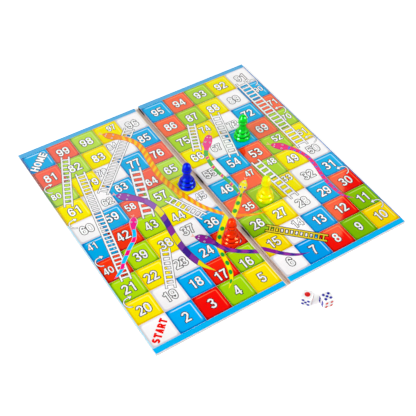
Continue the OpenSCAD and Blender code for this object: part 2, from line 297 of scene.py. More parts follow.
def addWorld():
    world = bpy.data.worlds.new("studioRoom")
    bpy.context.scene.world = world
    tree = emptyTree(world)
    rays = addNode(tree, "ShaderNodeLightPath").outputs
    height = split(tree, addNode(tree, "ShaderNodeTexCoord").outputs["Generated"])["Z"]
    # gloss sees the white background near the horizon and a darker ceiling
    ceiling = remap(tree, height, *studio["ceilingEdge"], 1.0, studio["mirrorHigh"], smooth=True)
    mirror = maths(tree, "MAXIMUM", rays["Is Glossy Ray"], rays["Is Transmission Ray"])
    level = addNode(tree, "ShaderNodeMix", {0: mirror, 2: studio["fill"], 3: ceiling})
    seen = addNode(tree, "ShaderNodeMix", {0: rays["Is Camera Ray"], 2: level, 3: 1.0})
    background = addNode(tree, "ShaderNodeBackground", {"Color": (1, 1, 1, 1), "Strength": seen})
    addNode(tree, "ShaderNodeOutputWorld", {"Surface": background})


def addFloor():
    material = bpy.data.materials.new("whitePaperSweep")
    tree = emptyTree(material)
    camera = addNode(tree, "ShaderNodeLightPath").outputs["Is Camera Ray"]
    bounce, seen = studio["floorBounce"], studio["floorSeen"]
    color = mixColor(tree, camera, (bounce, bounce, bounce, 1), (seen, seen, seen, 1))
    diffuse = addNode(tree, "ShaderNodeBsdfDiffuse", {"Color": color})
    # the shadows on the paper are faint, and far from the board, where the lamps don't reach, it is seen as white as
    # the room behind it
    place = addNode(tree, "ShaderNodeTexCoord").outputs["Object"]
    far = remap(tree, vectorMaths(tree, "LENGTH", place).outputs["Value"], *studio["floorFade"])
    below = addNode(tree, "ShaderNodeNewGeometry").outputs["Backfacing"]
    plain = maths(tree, "MULTIPLY", maths(tree, "MAXIMUM", far, below), camera)
    white = addNode(tree, "ShaderNodeEmission", {"Strength": 1.0})
    paper = addNode(tree, "ShaderNodeMixShader", {0: plain, 1: diffuse, 2: white})
    addNode(tree, "ShaderNodeOutputMaterial", {"Surface": paper})
    # open under the board, so that the halves stay in sight when they fold down past the table
    half, inside = studio["floorHalf"], studio["opening"]
    low, high = sheetBox["left"][0], sheetBox["right"][1]
    corners = [(x, y, 0) for x0, y0, x1, y1 in ((-half, -half, half, half),
                                                (low.x + inside, low.y + inside, high.x - inside, high.y - inside))
               for x, y in ((x0, y0), (x1, y0), (x1, y1), (x0, y1))]
    mesh = meshFrom("floor", corners, ringFaces(2, 4))
    mesh.materials.append(material)
    floor = addObject("floor", mesh)
    floor.location.z = -studio["floorDrop"]


def addPanel(name, width, height, radiance):
    data = bpy.data.lights.new(name, "AREA")
    data.shape = "RECTANGLE"
    data.size = width
    data.size_y = height
    data.energy = radiance * math.pi * width * height
    panel = addObject(name, data)
    panel.visible_camera = False
    return panel


def addSoftbox(name, corner, along, across):
    # level, and placed by where its mirror image lies in the print, seen from the camera
    height = studio["softboxHeight"]
    eye = bpy.context.scene.camera.matrix_world.translation
    mirrored = Vector((eye.x, eye.y))
    scale = (height + eye.z - 2 * printTop) / (eye.z - printTop)
    start = mirrored + (Vector(at("right", *corner)) - mirrored) * scale
    width, depth = (Vector(v) * cell * scale for v in (along, across))
    middle = start + (width + depth) / 2
    lamp = addPanel(name, width.length, depth.length, studio["softboxRadiance"])
    lamp.location = (middle.x, middle.y, height)
    lamp.rotation_euler = (0, 0, math.atan2(width.y, width.x))
    lamp.visible_diffuse = False  # only the gloss shows it, so it throws no shadow


shinyPieces = bpy.data.collections.new("shinyPieces")  # pawns and dice


def addLamp(name, direction, distance, width, height, radiance, highlights):
    lamp = addPanel(name, width, height, radiance)
    lamp.location = Vector(direction).normalized() * distance
    lamp.rotation_euler = lamp.location.to_track_quat("Z", "Y").to_euler()
    lamp.visible_glossy = highlights  # what lights the board isn't what its gloss shows
    lamp.visible_diffuse = not highlights
    if highlights:
        lamp.light_linking.receiver_collection = shinyPieces


addWorld()
addFloor()
for name, look in studio["softboxes"].items():
    addSoftbox(name, *look)
for name, look in studio["lamps"].items():
    addLamp(name, *look)
bpy.context.scene.view_settings.view_transform = "Standard"
print("studio lit")

# Printed sheet: offset inks on art paper under a gloss film.
# The film gives a clear mirror-like glare with a slight waviness from the glue and the board under it.

film = {
    "shader": {"Roughness": 0.04, "IOR": 1.5},
    "waveSize": 15.0,  # mm between the swellings of the board under the film
    "waveHeight": 0.05,  # mm
    "inkGrain": 0.55,  # mm, ink mottle, drawn coarser than the real one so that it shows
    "grainRange": (0.3, 0.7),
}
pad = {
    "edge": 0.492,  # half width of the printed glass pad, in squares
    "corner": 0.15,  # its corner radius
    "lineAt": 0.098,  # how far inside the edge the light line runs
    "lineWidth": 0.028,
    "lineFrom": (-0.02, 0.16),  # off the diagonal, where the line fades in towards the back and right
    "bandWidth": 0.085,  # shaded edge at the front and left
    "bandBehind": 0.45,  # what is left of it at the back and right
    "glow": (-0.9, 0.9, 0.92, 1.09),  # across the diagonal, from darker to lighter
    "mottle": 0.015,
}


def underFilm(name, tint, shine=0.5):
    return newMaterial(name, {**film["shader"], "Specular Tint": tint, "Specular IOR Level": shine})


def mottled(tree, place, color, amount):
    # uneven ink or dye: a few per cent lighter and darker
    grain = noise(tree, place, film["inkGrain"])
    density = remap(tree, grain, *film["grainRange"], 1 - amount, 1 + amount)
    return vectorMaths(tree, "MULTIPLY", color, density).outputs[0]


def inked(material, place, color, mottle):
    tree = material.node_tree
    wave = noise(tree, place, film["waveSize"], 1.0)
    return finished(material, mottled(tree, place, color, mottle), wave, film["waveHeight"])


def plainInk(name, color, mottle=0.02, tint="#FFFFFF", shine=0.5):
    material, _, place = underFilm(name, tint, shine)
    return inked(material, place, toLinear(color)[:3], mottle)


def padInk(name, side, front, back, edge, line, tint, shine, paintedGlareSpan=(0.6, 3.4)):
    # one ink of the squares, with the shaded glass pad that each square shows; between two rows its ground turns from
    # the front color to the back one, a painted glare that leaves most inks paler towards the back
    material, tree, place = underFilm(name, tint, shine)
    fromCorner = vectorMaths(tree, "SUBTRACT", place, (*gridOrigin[side], 0))
    inSquares = vectorMaths(tree, "MULTIPLY", fromCorner, (1 / cell, 1 / cell, 0))
    centred = vectorMaths(tree, "SUBTRACT", vectorMaths(tree, "FRACTION", inSquares), (0.5, 0.5, 0))
    inner = pad["edge"] - pad["corner"]
    past = vectorMaths(tree, "SUBTRACT", vectorMaths(tree, "ABSOLUTE", centred), (inner, inner, 0))
    reach = vectorMaths(tree, "LENGTH", vectorMaths(tree, "MAXIMUM", past, (0, 0, 0))).outputs["Value"]
    depth = maths(tree, "SUBTRACT", pad["corner"], reach)  # inside the edge
    x, y, _ = split(tree, centred)
    diagonal = maths(tree, "ADD", x, y)
    backRight = remap(tree, diagonal, *pad["lineFrom"], smooth=True)
    offLine = maths(tree, "ABSOLUTE", maths(tree, "SUBTRACT", depth, pad["lineAt"]))
    lineAmount = remap(tree, offLine, 0.0, pad["lineWidth"], 1.0, 0.0, smooth=True)
    light = maths(tree, "MULTIPLY", lineAmount, backRight)
    band = remap(tree, depth, 0.0, pad["bandWidth"], 1.0, 0.0, smooth=True)
    shade = maths(tree, "MULTIPLY", band, remap(tree, backRight, 0.0, 1.0, 1.0, pad["bandBehind"]))
    glow = remap(tree, diagonal, *pad["glow"])
    # painted glare: the ground turns paler towards the back of the board
    ground = mixColor(tree, remap(tree, split(tree, inSquares)["Y"], *paintedGlareSpan), front, back)
    shaded = mixColor(tree, shade, vectorMaths(tree, "MULTIPLY", ground, glow), edge)
    return inked(material, place, mixColor(tree, light, shaded, line), pad["mottle"])


# the two halves' copies of each ink differ a little as painted light
squareInks = {  # ground in the first rows and further back, where most inks are paler as painted glare, shaded edge, light line, tint and strength of the gloss
    "left": {
        "white": ("#FAF8F9", "#FAF8F9", "#CFCBD2", "#FFFFFF", "#404040", 0.5),
        "blue": ("#00AEF8", "#00AEEC", "#0070C0", "#C8F0FF", "#009900", 0.25),
        "red": ("#FC0000", "#FF3208", "#A00400", "#FF6A40", "#00E9CE", 0.5),
        "green": ("#A2DA00", "#B8E400", "#5E9600", "#CDEB70", "#7C00C0", 0.5),
        "yellow": ("#FCE400", "#FFF000", "#E4B800", "#FFF470", "#202000", 0.06),
    },
    "right": {
        "white": ("#FFFDFE", "#FFFDFE", "#CFCBD2", "#FFFFFF", "#404040", 0.5),
        "blue": ("#009FEF", "#00B2F0", "#0064B8", "#B4E8FF", "#00FF00", 0.12),
        "red": ("#FF0404", "#FF1C0C", "#A00400", "#FF6A40", "#C0FF98", 0.5, (3.0, 4.2)),
        "green": ("#80C000", "#9AD008", "#4C8A00", "#C4E868", "#FFEE50", 0.45),
        "yellow": ("#FAD800", "#FFF200", "#DCAC00", "#FFF068", "#202000", 0.06),
    },
}
for side in halves:
    for ink, look in squareInks[side].items():
        repaint(f"{side}_{ink}_squares", padInk(f"{ink}InkUnderFilm_{side}", side, *look))


borderLook = {
    "front": "#04B6F4", "back": "#48B0E6",
    "paintedGlareSpan": (-0.02, 0.06),  # metres along the board, from the front strip's blue to the back strip's paler one, a painted glare
    "left": [(0.0, "#A8E4FA"), (0.6, "#A89400"), (0.7, "#2E8400"), (0.8, "#980C0C"), (0.9, "#0A4890")],
    "right": [(0.0, "#0074C0")],  # line outside the last column, by place along the rows
}


def borderInk(name, side):
    # blue strips at the front and back, the back one paler as painted glare; the line at the outer edge is pale, or a
    # shade of the square that runs over it
    material, tree, place = underFilm(name, "#404040")
    x, y, _ = split(tree, place)
    # painted glare: the strip's blue turns paler towards the back
    strip = mixColor(tree, remap(tree, y, *borderLook["paintedGlareSpan"]), borderLook["front"], borderLook["back"])
    low, high = inkBox[side]
    beyond = maths(tree, "LESS_THAN", x, low.x) if side == "left" else maths(tree, "GREATER_THAN", x, high.x)
    fromMiddle = maths(tree, "SUBTRACT", y, (low.y + high.y) / 2)
    beside = maths(tree, "LESS_THAN", maths(tree, "ABSOLUTE", fromMiddle), (high.y - low.y) / 2)
    rows = remap(tree, fromMiddle, (low.y - high.y) / 2, (high.y - low.y) / 2)
    line = maths(tree, "MULTIPLY", beyond, beside)
    color = mixColor(tree, line, strip, ramp(tree, rows, borderLook[side], constant=True))
    return inked(material, place, color, 0.02)


for side in halves:
    repaint(f"{side}_border_print", borderInk(f"borderInk_{side}", side))
print("squares inked")

# Layers of ink on the squares: closed thin solids made from flat outlines

layers = {  # height of each layer's top over the squares' ink, mm
    "outline": 0.008,
    "number": 0.016,
    "ladderOutline": 0.020,
    "ladder": 0.026,
    "frontOutline": 0.030,
    "frontNumber": 0.035,
    "snake": 0.040,
    "spottedSnake": 0.048,
    "violetSnake": 0.056,
    "eye": 0.062,
    "pupil": 0.068,
}


def layerTop(layer):
    return printTop + layers[layer] * mm


def union(polygons):
    # triangles that cover every polygon once, however they overlap
    points, faces = [], []
    for polygon in polygons:
        faces.append(list(range(len(points), len(points) + len(polygon))))
        points.extend(Vector(p) for p in polygon)
    found = delaunay_2d_cdt(points, [], faces, 1, 1e-7)
    verts, tris, sources = found[0], found[2], found[5]
    kept = [t for t, source in zip(tris, sources) if source]
    used = sorted({i for t in kept for i in t})
    number = {old: new for new, old in enumerate(used)}
    return [tuple(verts[i]) for i in used], [tuple(number[i] for i in t) for t in kept]


def thicken(shape, low, high):
    # a flat triangulated shape as a closed solid between two heights
    verts, tris = shape
    count = len(verts)
    solid = [(x, y, z) for z in (high, low) for x, y in verts]
    faces = list(tris) + [tuple(i + count for i in reversed(t)) for t in tris]
    edges = dict.fromkeys((a, b) for t in tris for a, b in zip(t, t[1:] + t[:1]))
    faces += [(b, a, a + count, b + count) for a, b in edges if (b, a) not in edges]
    return solid, faces


def printLayer(name, shapes, layer, material, side, replaced=()):
    # one piece of ink on a half: every flat shape as a solid up to the layer's height
    verts, faces = [], []
    for shape in shapes:
        solid, around = thicken(shape, printTop, layerTop(layer))
        faces.extend(tuple(i + len(verts) for i in face) for face in around)
        verts.extend(solid)
    addPiece(name, meshFrom(name, verts, faces), material, halfBody[side], replaced)


def ribbon(points, width, grow=0.0, closed=False):
    # quads along a line, mitred at its points; grow widens it and lengthens its open ends
    line = [Vector(p) for p in points]
    if not closed:
        line[0] = line[0] + (line[0] - line[1]).normalized() * grow
        line[-1] = line[-1] + (line[-1] - line[-2]).normalized() * grow
    count = len(line)
    inner = 0.4 if closed else 1.0  # the keyline inside a ring is thinner
    left, right = [], []
    for i, p in enumerate(line):
        before = line[i - 1] if i or closed else p
        after = line[(i + 1) % count] if i < count - 1 or closed else p
        incoming = (p - before).normalized() if before is not p else (after - p).normalized()
        outgoing = (after - p).normalized() if after is not p else incoming
        normal = Vector((-incoming.y - outgoing.y, incoming.x + outgoing.x)).normalized()
        stretch = 1 / max(normal.dot(Vector((-incoming.y, incoming.x))), 0.5)
        left.append(p + normal * (width / 2 + grow * inner) * stretch)
        right.append(p - normal * (width / 2 + grow) * stretch)
    pairs = range(count if closed else count - 1)
    return [[right[i], right[(i + 1) % count], left[(i + 1) % count], left[i]] for i in pairs]


def slant(x0, x1, halfWidth, grow=0.0, y0=0.0, y1=1.0):
    # a sloping bar with level ends
    slope = (x1 - x0) / (y1 - y0)
    half = halfWidth + grow * math.hypot(1, slope)
    a, b = x0 - slope * grow, x1 + slope * grow
    return [[(a - half, y0 - grow), (a + half, y0 - grow), (b + half, y1 + grow), (b - half, y1 + grow)]]


def arc(cx, cy, rx, ry, start, end, steps=12):
    angles = [math.radians(start + (end - start) * i / steps) for i in range(steps + 1)]
    return [(cx + rx * math.cos(a), cy + ry * math.sin(a)) for a in angles]


def oval(cx, cy, rx, ry, steps=24, squareness=0.88):
    points = []
    for i in range(steps):
        a = 2 * math.pi * i / steps
        x, y = (math.copysign(abs(v) ** squareness, v) for v in (math.cos(a), math.sin(a)))
        points.append((cx + rx * x, cy + ry * y))
    return points


digitStyle = {"wide": 0.57, "stroke": 0.158, "advance": 0.64, "outline": 0.066}


def figureStrokes(sign, style, grow):
    # polygons of a digit or capital, 1 high, its left edge at x = 0
    w, wide = style["stroke"], style["wide"]
    a = w / 2
    mid, right, top = wide / 2, wide - a, 1 - a
    rx = mid - a
    upper = (0.5 - a) / 2  # radius of each bowl of an S

    def bar(points, weight=1.0, closed=False):
        return ribbon(points, w * weight, grow, closed)

    def stem(x, weight=1.0):
        return bar([(x, 0), (x, 1)], weight)

    if sign in "0O":
        return bar(oval(mid, 0.5, rx + 0.01, 0.5 - a), 0.94, True)
    if sign == "1":
        x = wide * 0.64
        return stem(x) + bar([(x, 0.90), (x - 0.10, 0.795), (x - 0.27, 0.735)], 0.84)
    if sign == "2":
        bowl = arc(mid, top - 0.225, rx, 0.225, 168, -28)
        return bar(bowl + [(mid + 0.02, 0.35), (a + 0.035, 0.13)]) + bar([(0.0, a), (wide, a)])
    if sign == "3":
        return (bar(arc(mid - 0.01, 0.735, rx - 0.02, top - 0.735, 165, -90))
                + bar(arc(mid, 0.5 - upper, rx, upper, 90, -165))
                + bar([(mid - 0.09, 0.525), (mid + 0.02, 0.525)], 0.8))
    if sign == "4":
        x = wide * 0.72
        return (stem(x) + bar([(-0.01, 0.265), (wide, 0.265)], 0.86)
                + slant(a * 0.75, x - 0.02, a * 0.86, grow * 0.6, 0.23, 1.0))
    if sign == "5":
        return (bar([(wide * 0.95, top), (wide * 0.22, top), (wide * 0.14, 0.46)], 0.92)
                + bar(arc(mid, 0.325, rx, 0.325 - a, 148, -162)))
    if sign == "6":
        return bar(oval(mid, 0.325, rx, 0.325 - a), 1.0, True) + bar(arc(mid, 0.5, rx, 0.5 - a, 205, 28))
    if sign == "9":
        return [[(wide - x, 1 - y) for x, y in p] for p in figureStrokes("6", style, grow)]
    if sign == "7":
        leg = [(right - 0.01, top - 0.02), (wide * 0.60, 0.62), (wide * 0.45, 0.32), (wide * 0.38, 0)]
        return bar([(0.0, top), (wide, top)]) + bar(leg)
    if sign == "8":
        return (bar(oval(mid, 0.735, rx - 0.025, top - 0.735), 1.0, True)
                + bar(oval(mid, 0.5 - upper + 0.01, rx, upper + 0.01), 1.0, True))
    if sign == "S":
        return bar(arc(mid, top - upper, rx, upper, 25, 270) + arc(mid, a + upper, rx, upper, 90, -155)[1:])
    if sign == "T":
        return bar([(0, top), (wide, top)]) + bar([(mid, 0), (mid, top)])
    if sign == "A":
        return (slant(a, mid, a, grow) + slant(wide - a, mid, a, grow)
                + bar([(0.17, 0.30), (wide - 0.17, 0.30)], 0.8))
    if sign == "R":
        bowl = [(a, top)] + arc(mid + 0.02, (top + 0.47) / 2, rx - 0.03, (top - 0.47) / 2, 90, -90) + [(a, 0.47)]
        return stem(a) + bar(bowl, 0.92) + slant(right + 0.02, mid + 0.04, a, grow, 0, 0.47)
    if sign == "H":
        return stem(a) + stem(right) + bar([(a, 0.5), (right, 0.5)], 0.92)
    if sign == "M":
        return (stem(a * 0.9, 0.9) + stem(wide - a * 0.9, 0.9)
                + slant(mid, a, a * 0.85, grow, 0.12, 1) + slant(mid, wide - a, a * 0.85, grow, 0.12, 1))
    if sign == "E":
        return (stem(a) + bar([(0, top), (wide * 0.9, top)], 0.92)
                + bar([(0, 0.5), (wide * 0.84, 0.5)], 0.88) + bar([(0, a), (wide * 0.9, a)], 0.92))
    raise ValueError(sign)


figureShapes = {}


def figureShape(sign, style, grow):
    key = (sign, style["wide"], style["stroke"], grow)
    if key not in figureShapes:
        figureShapes[key] = union(figureStrokes(sign, style, grow))
    return figureShapes[key]


def lettering(text, style, centre, height, grow, side, turn=0):
    # flat shapes for a text centred at a place in squares and turned by some degrees
    length = style["advance"] * (len(text) - 1) + style["wide"]
    x, y = at(side, *centre)
    scale = height * cell
    c, s = math.cos(math.radians(turn)) * scale, math.sin(math.radians(turn)) * scale
    found = []
    for i, sign in enumerate(text):
        verts, tris = figureShape(sign, style, grow)
        shift = style["advance"] * i - length / 2
        found.append(([(x + (u + shift) * c - (v - 0.5) * s, y + (u + shift) * s + (v - 0.5) * c) for u, v in verts],
                      tris))
    return found


# Numbers of the squares, along rows that turn back at each end

numberLook = {
    "height": 0.40,  # in squares
    "front": (82,),  # printed over the ladders
    "centre": (0.5, 0.485),
    "moved": {  # centre and height of the numbers that make room for a ladder, a snake or an arrow
        14: (6.73, 1.76, .34), 16: (4.41, 1.30, .40), 17: (3.39, 1.30, .40), 22: (1.36, 2.50, .40),
        24: (3.52, 2.44, .40), 25: (4.58, 2.33, .40), 33: (7.73, 3.76, .32), 35: (5.71, 3.34, .34),
        36: (4.39, 3.45, .40), 37: (3.49, 3.61, .40), 40: (.26, 3.49, .30), 41: (.29, 4.72, .30),
        42: (1.42, 4.58, .40), 44: (3.52, 4.34, .40), 45: (4.72, 4.73, .34), 47: (6.69, 4.72, .31),
        48: (7.73, 4.78, .32), 51: (9.71, 5.49, .32), 52: (8.67, 5.73, .33), 55: (5.42, 5.48, .40),
        56: (4.55, 5.51, .40), 57: (3.51, 5.53, .40), 58: (2.29, 5.62, .32), 59: (1.50, 5.55, .40),
        60: (.49, 5.53, .40), 61: (.52, 6.53, .40), 62: (1.72, 6.30, .34), 63: (2.49, 6.66, .38),
        64: (3.58, 6.33, .36), 67: (6.38, 6.51, .34), 70: (9.71, 6.51, .32), 71: (9.75, 7.53, .32),
        73: (7.66, 7.29, .34), 74: (6.56, 7.63, .34), 78: (2.24, 7.71, .33), 79: (1.70, 7.44, .36),
        80: (.26, 7.51, .30), 84: (3.23, 8.75, .32), 90: (9.71, 8.49, .31), 96: (4.49, 9.44, .40),
        97: (3.69, 9.69, .30),
    },
}
words = {
    "start": {"text": "START", "style": {"wide": 0.64, "stroke": 0.28, "advance": 0.72}, "centre": (0.50, 0.475),
              "height": 0.275},
    "home": {"text": "HOME", "style": {"wide": 0.70, "stroke": 0.23, "advance": 0.83}, "centre": (0.495, 9.465),
             "height": 0.32},
}
wordTurn = 43  # degrees
homeOutline = 0.06


def numberPlace(number):
    row, step = divmod(number - 1, 10)
    col = step if row % 2 == 0 else 9 - step
    if number in numberLook["moved"]:
        c, r, height = numberLook["moved"][number]
        return sideOf(col), (c, r), height
    return sideOf(col), (col + numberLook["centre"][0], row + numberLook["centre"][1]), numberLook["height"]


def buildNumbers(numbers, grow):
    found = {side: [] for side in halves}
    for number in numbers:
        side, centre, height = numberPlace(number)
        found[side] += lettering(str(number), digitStyle, centre, height, grow, side)
    return found


def buildWord(name, grow=0.0):
    word = words[name]
    return lettering(word["text"], word["style"], word["centre"], word["height"], grow, "left", wordTurn)


def smoothed(path, steps):
    # smooth curve through the points of a path, which may hold a width as a third value
    points = [np.array(p, float) for p in path]
    found = []
    for i in range(len(points) - 1):
        a = points[max(i - 1, 0)]
        b, c = points[i], points[i + 1]
        d = points[min(i + 2, len(points) - 1)]
        for k in range(steps):
            t = k / steps
            found.append(tuple(0.5 * (2 * b + t * (c - a) + t * t * (2 * a - 5 * b + 4 * c - d)
                                      + t ** 3 * (3 * b - a - 3 * c + d))))
    found.append(tuple(points[-1]))
    return found


def toMetres(side, polygons):
    return [[at(side, *p[:2]) for p in polygon] for polygon in polygons]


arrowLook = {
    "stroke": 0.036,
    "outline": 0.014,
    "tail": [(.235, -.25), (.13, -.21), (.055, -.11), (.04, 0), (.08, .09), (.16, .14), (.29, .15)],
    "head": [(.27, .225), (.40, .145), (.30, .06)],
    "rows": {"left": (2, 4, 6, 8), "right": (1, 3, 5, 7, 9)},
}


def buildArrows(side, grow):
    # thin arrows that lead from one row up to the next, at the ends of the board
    mirror, start = (-1, 10) if side == "right" else (1, 0)
    found = []
    for boundary in arrowLook["rows"][side]:
        line, head = ([(start + mirror * c, boundary + r) for c, r in path]
                      for path in (smoothed(arrowLook["tail"], 4), arrowLook["head"][::-mirror]))
        middle = Vector((sum(p[0] for p in head) / 3, sum(p[1] for p in head) / 3))
        grown = [Vector(p) + (Vector(p) - middle).normalized() * grow * 2 for p in head]
        found.append(union(toMetres(side, ribbon(line, arrowLook["stroke"], grow) + [grown])))
    return found


inkWhite = plainInk("whiteReverse", "#FBFBFB", 0.01)
inkLine = plainInk("blackKeyline", "#1E181A", 0.02, "#101010", 0.1)
inkRed = plainInk("startRed", "#F2140E", 0.02, "#402020", 0.2)
for kind, layer, frontLayer, ink, digitGrow, arrowGrow, homeGrow in (
        ("number_outlines", "outline", "frontOutline", inkLine, digitStyle["outline"], arrowLook["outline"],
         homeOutline),
        ("numbers", "number", "frontNumber", inkWhite, 0.0, 0.0, 0.0)):
    plain = buildNumbers([n for n in range(2, 100) if n not in numberLook["front"]], digitGrow)
    for side in halves:
        shapes = plain[side] + buildArrows(side, arrowGrow)
        if side == "left":
            shapes += buildWord("home", homeGrow)
        printLayer(f"{side}_{kind}", shapes, layer, ink, side)
    front = buildNumbers(numberLook["front"], digitGrow)["left"]
    printLayer(f"front_{kind}", front, frontLayer, ink, "left")
printLayer("start_word", buildWord("start"), "number", inkRed, "left")
print("numbers, words and arrows printed")

# Ladders: white and gold, with a dark keyline round each rail and rung

ladders = {
    "outline": 0.42,  # mm of keyline beside each rail and rung
    "goldOutline": 0.70,
    "left": [  # foot, top, width in squares, rungs, thickness of the rails and of the rungs in mm
        ((.42, 6.82), (1.44, 9.18), .34, 12, 1.5, 1.6), ((.59, 2.81), (1.53, 8.12), .38, 30, 1.5, 1.5),
        ((1.76, 6.73), (4.27, 9.26), .41, 21, 1.4, 1.3), ((2.61, 4.83), (3.39, 7.25), .45, 9, 1.7, 2.5),
        ((4.31, 3.81), (3.64, 5.27), .35, 7, 1.5, 1.4), ((1.68, 1.74), (2.37, 3.30), .35, 8, 1.5, 1.6),
    ],
    "right": [
        ((7.42, 2.83), (7.22, 5.14), .37, 8, 1.5, 2.4), ((9.29, 4.83), (9.33, 9.23), .47, 19, 1.6, 1.9),
        ((6.70, 5.74), (7.38, 8.21), .39, 9, 1.5, 2.4), ((5.67, 6.76), (6.25, 8.16), .34, 8, 1.6, 1.9),
    ],
    "gold": [((7.21, .63), (5.66, 2.17), .32, 12, 1.5, 1.1)],
}


def ladderBars(side, foot, top, width, rungs, rail, rung, grow):
    # rails and rungs as level boxes along the ladder, grown on every side
    start, end = Vector(at(side, *foot)), Vector(at(side, *top))
    along = (end - start).normalized()
    across = Vector((-along.y, along.x))
    length = (end - start).length
    wide, rail, rung = width * cell, rail * mm, rung * mm
    pitch = length / (rungs + 0.6)
    boxes = [(-grow, length + grow, edge - grow, edge + rail + grow) for edge in (-wide / 2, wide / 2 - rail)]
    for i in range(rungs):
        middle = (i + 0.8) * pitch
        boxes.append((middle - rung / 2 - grow, middle + rung / 2 + grow, -wide / 2 + rail / 2, wide / 2 - rail / 2))
    return [[start + along * u + across * v for u, v in ((x0, y0), (x1, y0), (x1, y1), (x0, y1))]
            for x0, x1, y0, y1 in boxes]


inkLadder = plainInk("ladderWhite", "#F8F7F8", 0.01, "#404040")
inkLadderLine = plainInk("ladderKeyline", "#2E2628", 0.02, "#202020", 0.2)
inkGold = plainInk("ladderGold", "#E8D030", 0.06, "#605828")
inkGoldLine = plainInk("goldLadderKeyline", "#1C1204", 0.02, "#101010", 0.1)
for kind, side, fill, line, outline, slot, node in (
        ("left", "left", inkLadder, inkLadderLine, "outline", "print_ladder_white", "left_white_ladders"),
        ("right", "right", inkLadder, inkLadderLine, "outline", "print_ladder_white", "right_white_ladders"),
        ("gold", "right", inkGold, inkGoldLine, "goldOutline", "print_gold", "gold_ladder")):
    grown, plain = ([union(ladderBars(side, *ladder, grow)) for ladder in ladders[kind]]
                    for grow in (ladders[outline] * mm, 0.0))
    printLayer(f"{kind}_ladder_keyline", grown, "ladderOutline", line, side)
    printLayer(f"{kind}_ladder_print", plain, "ladder", fill, side, [node])
print("ladders printed")

# Snakes: flat bodies whose pattern follows the length and the width of each

snakes = {
    "orange_snake_left": [
        (3.23, 9.54, .03), (3.29, 9.47, .10), (3.37, 9.38, .158), (3.47, 9.26, .18), (3.58, 9.15, .17),
        (3.70, 9.04, .135), (3.82, 8.90, .115), (3.94, 8.75, .115), (4.11, 8.38, .12), (4.14, 7.90, .12),
        (4.06, 7.30, .12), (3.99, 6.48, .12), (4.07, 5.73, .115), (4.25, 5.00, .105), (4.49, 4.32, .095),
        (4.80, 3.80, .085), (5.15, 3.38, .08)],
    "orange_snake_right": [
        (4.85, 3.36, .085), (5.11, 3.21, .08), (5.38, 3.06, .07), (5.63, 2.93, .055), (5.90, 2.84, .035),
        (6.22, 2.79, .005)],
    "violet_snake_left": [
        (3.53, 3.20, .03), (3.575, 3.15, .095), (3.65, 3.08, .15), (3.72, 2.97, .183), (3.81, 2.85, .178),
        (3.90, 2.71, .122), (3.97, 2.56, .095), (4.03, 2.38, .09), (4.17, 2.12, .09), (4.40, 1.90, .09),
        (4.70, 1.68, .09), (5.15, 1.40, .09)],
    "violet_snake_right": [
        (4.85, 1.55, .09), (5.06, 1.40, .09), (5.25, 1.18, .085), (5.45, .95, .08), (5.68, .74, .07),
        (5.95, .57, .05), (6.29, .46, .005)],
    "spotted_snake_right": [
        (6.35, 4.50, .03), (6.32, 4.47, .06), (6.25, 4.42, .113), (6.15, 4.33, .157), (6.03, 4.21, .152),
        (5.94, 4.11, .078), (5.86, 4.02, .042), (5.77, 3.94, .055), (5.64, 3.83, .09), (5.35, 3.56, .105),
        (5.08, 3.33, .105), (4.85, 3.13, .105)],
    "spotted_snake_left": [
        (5.15, 3.52, .105), (4.98, 3.39, .105), (4.80, 3.24, .105), (4.50, 2.97, .105), (4.22, 2.69, .10),
        (4.02, 2.40, .097), (3.92, 2.05, .095), (3.85, 1.67, .092), (3.75, 1.30, .085), (3.62, 1.02, .07),
        (3.46, .83, .045), (3.27, .67, .005)],
    "striped_snake": [
        (2.14, 6.41, .03), (2.17, 6.37, .09), (2.23, 6.32, .14), (2.32, 6.21, .188), (2.43, 6.11, .185),
        (2.60, 5.95, .145), (2.74, 5.81, .125), (2.89, 5.60, .125), (3.02, 5.28, .13), (3.08, 4.85, .13),
        (3.04, 4.30, .125), (2.96, 3.75, .125), (2.91, 3.15, .125), (2.94, 2.65, .13), (3.00, 2.30, .125),
        (3.08, 2.02, .10), (3.19, 1.80, .06), (3.34, 1.56, .005)],
    "candy_snake": [
        (2.15, 5.15, .03), (2.11, 5.06, .115), (2.04, 4.93, .15), (1.95, 4.79, .12), (1.88, 4.66, .085),
        (1.81, 4.46, .075), (1.66, 4.22, .078), (1.38, 4.00, .08), (1.12, 3.76, .08), (.86, 3.52, .078),
        (.64, 3.27, .066), (.43, 3.14, .048), (.25, 3.07, .005)],
    "green_snake": [
        (6.52, 7.26, .03), (6.50, 7.235, .09), (6.45, 7.17, .135), (6.32, 7.02, .168), (6.17, 6.85, .162),
        (6.06, 6.71, .105), (6.00, 6.63, .088), (5.88, 6.48, .08), (5.78, 6.20, .075), (5.72, 5.85, .075),
        (5.72, 5.40, .072), (5.77, 4.95, .07), (5.81, 4.50, .065), (5.79, 4.15, .06), (5.75, 3.98, .05)],
    "magenta_snake": [
        (8.25, 5.53, .03), (8.27, 5.50, .055), (8.31, 5.47, .11), (8.39, 5.39, .156), (8.49, 5.29, .188),
        (8.59, 5.18, .185), (8.70, 5.06, .137), (8.82, 4.91, .10), (8.95, 4.66, .09), (9.04, 4.32, .085),
        (9.06, 3.92, .085), (9.01, 3.57, .085), (8.93, 3.20, .08), (8.89, 2.80, .075), (8.90, 2.35, .07),
        (8.96, 2.00, .055), (9.07, 1.80, .035), (9.22, 1.65, .005)],
}
snakeBuild = {"steps": 8, "across": 9, "tongueStroke": 0.034, "rim": (0.70, 0.95), "rimStart": 0.04}
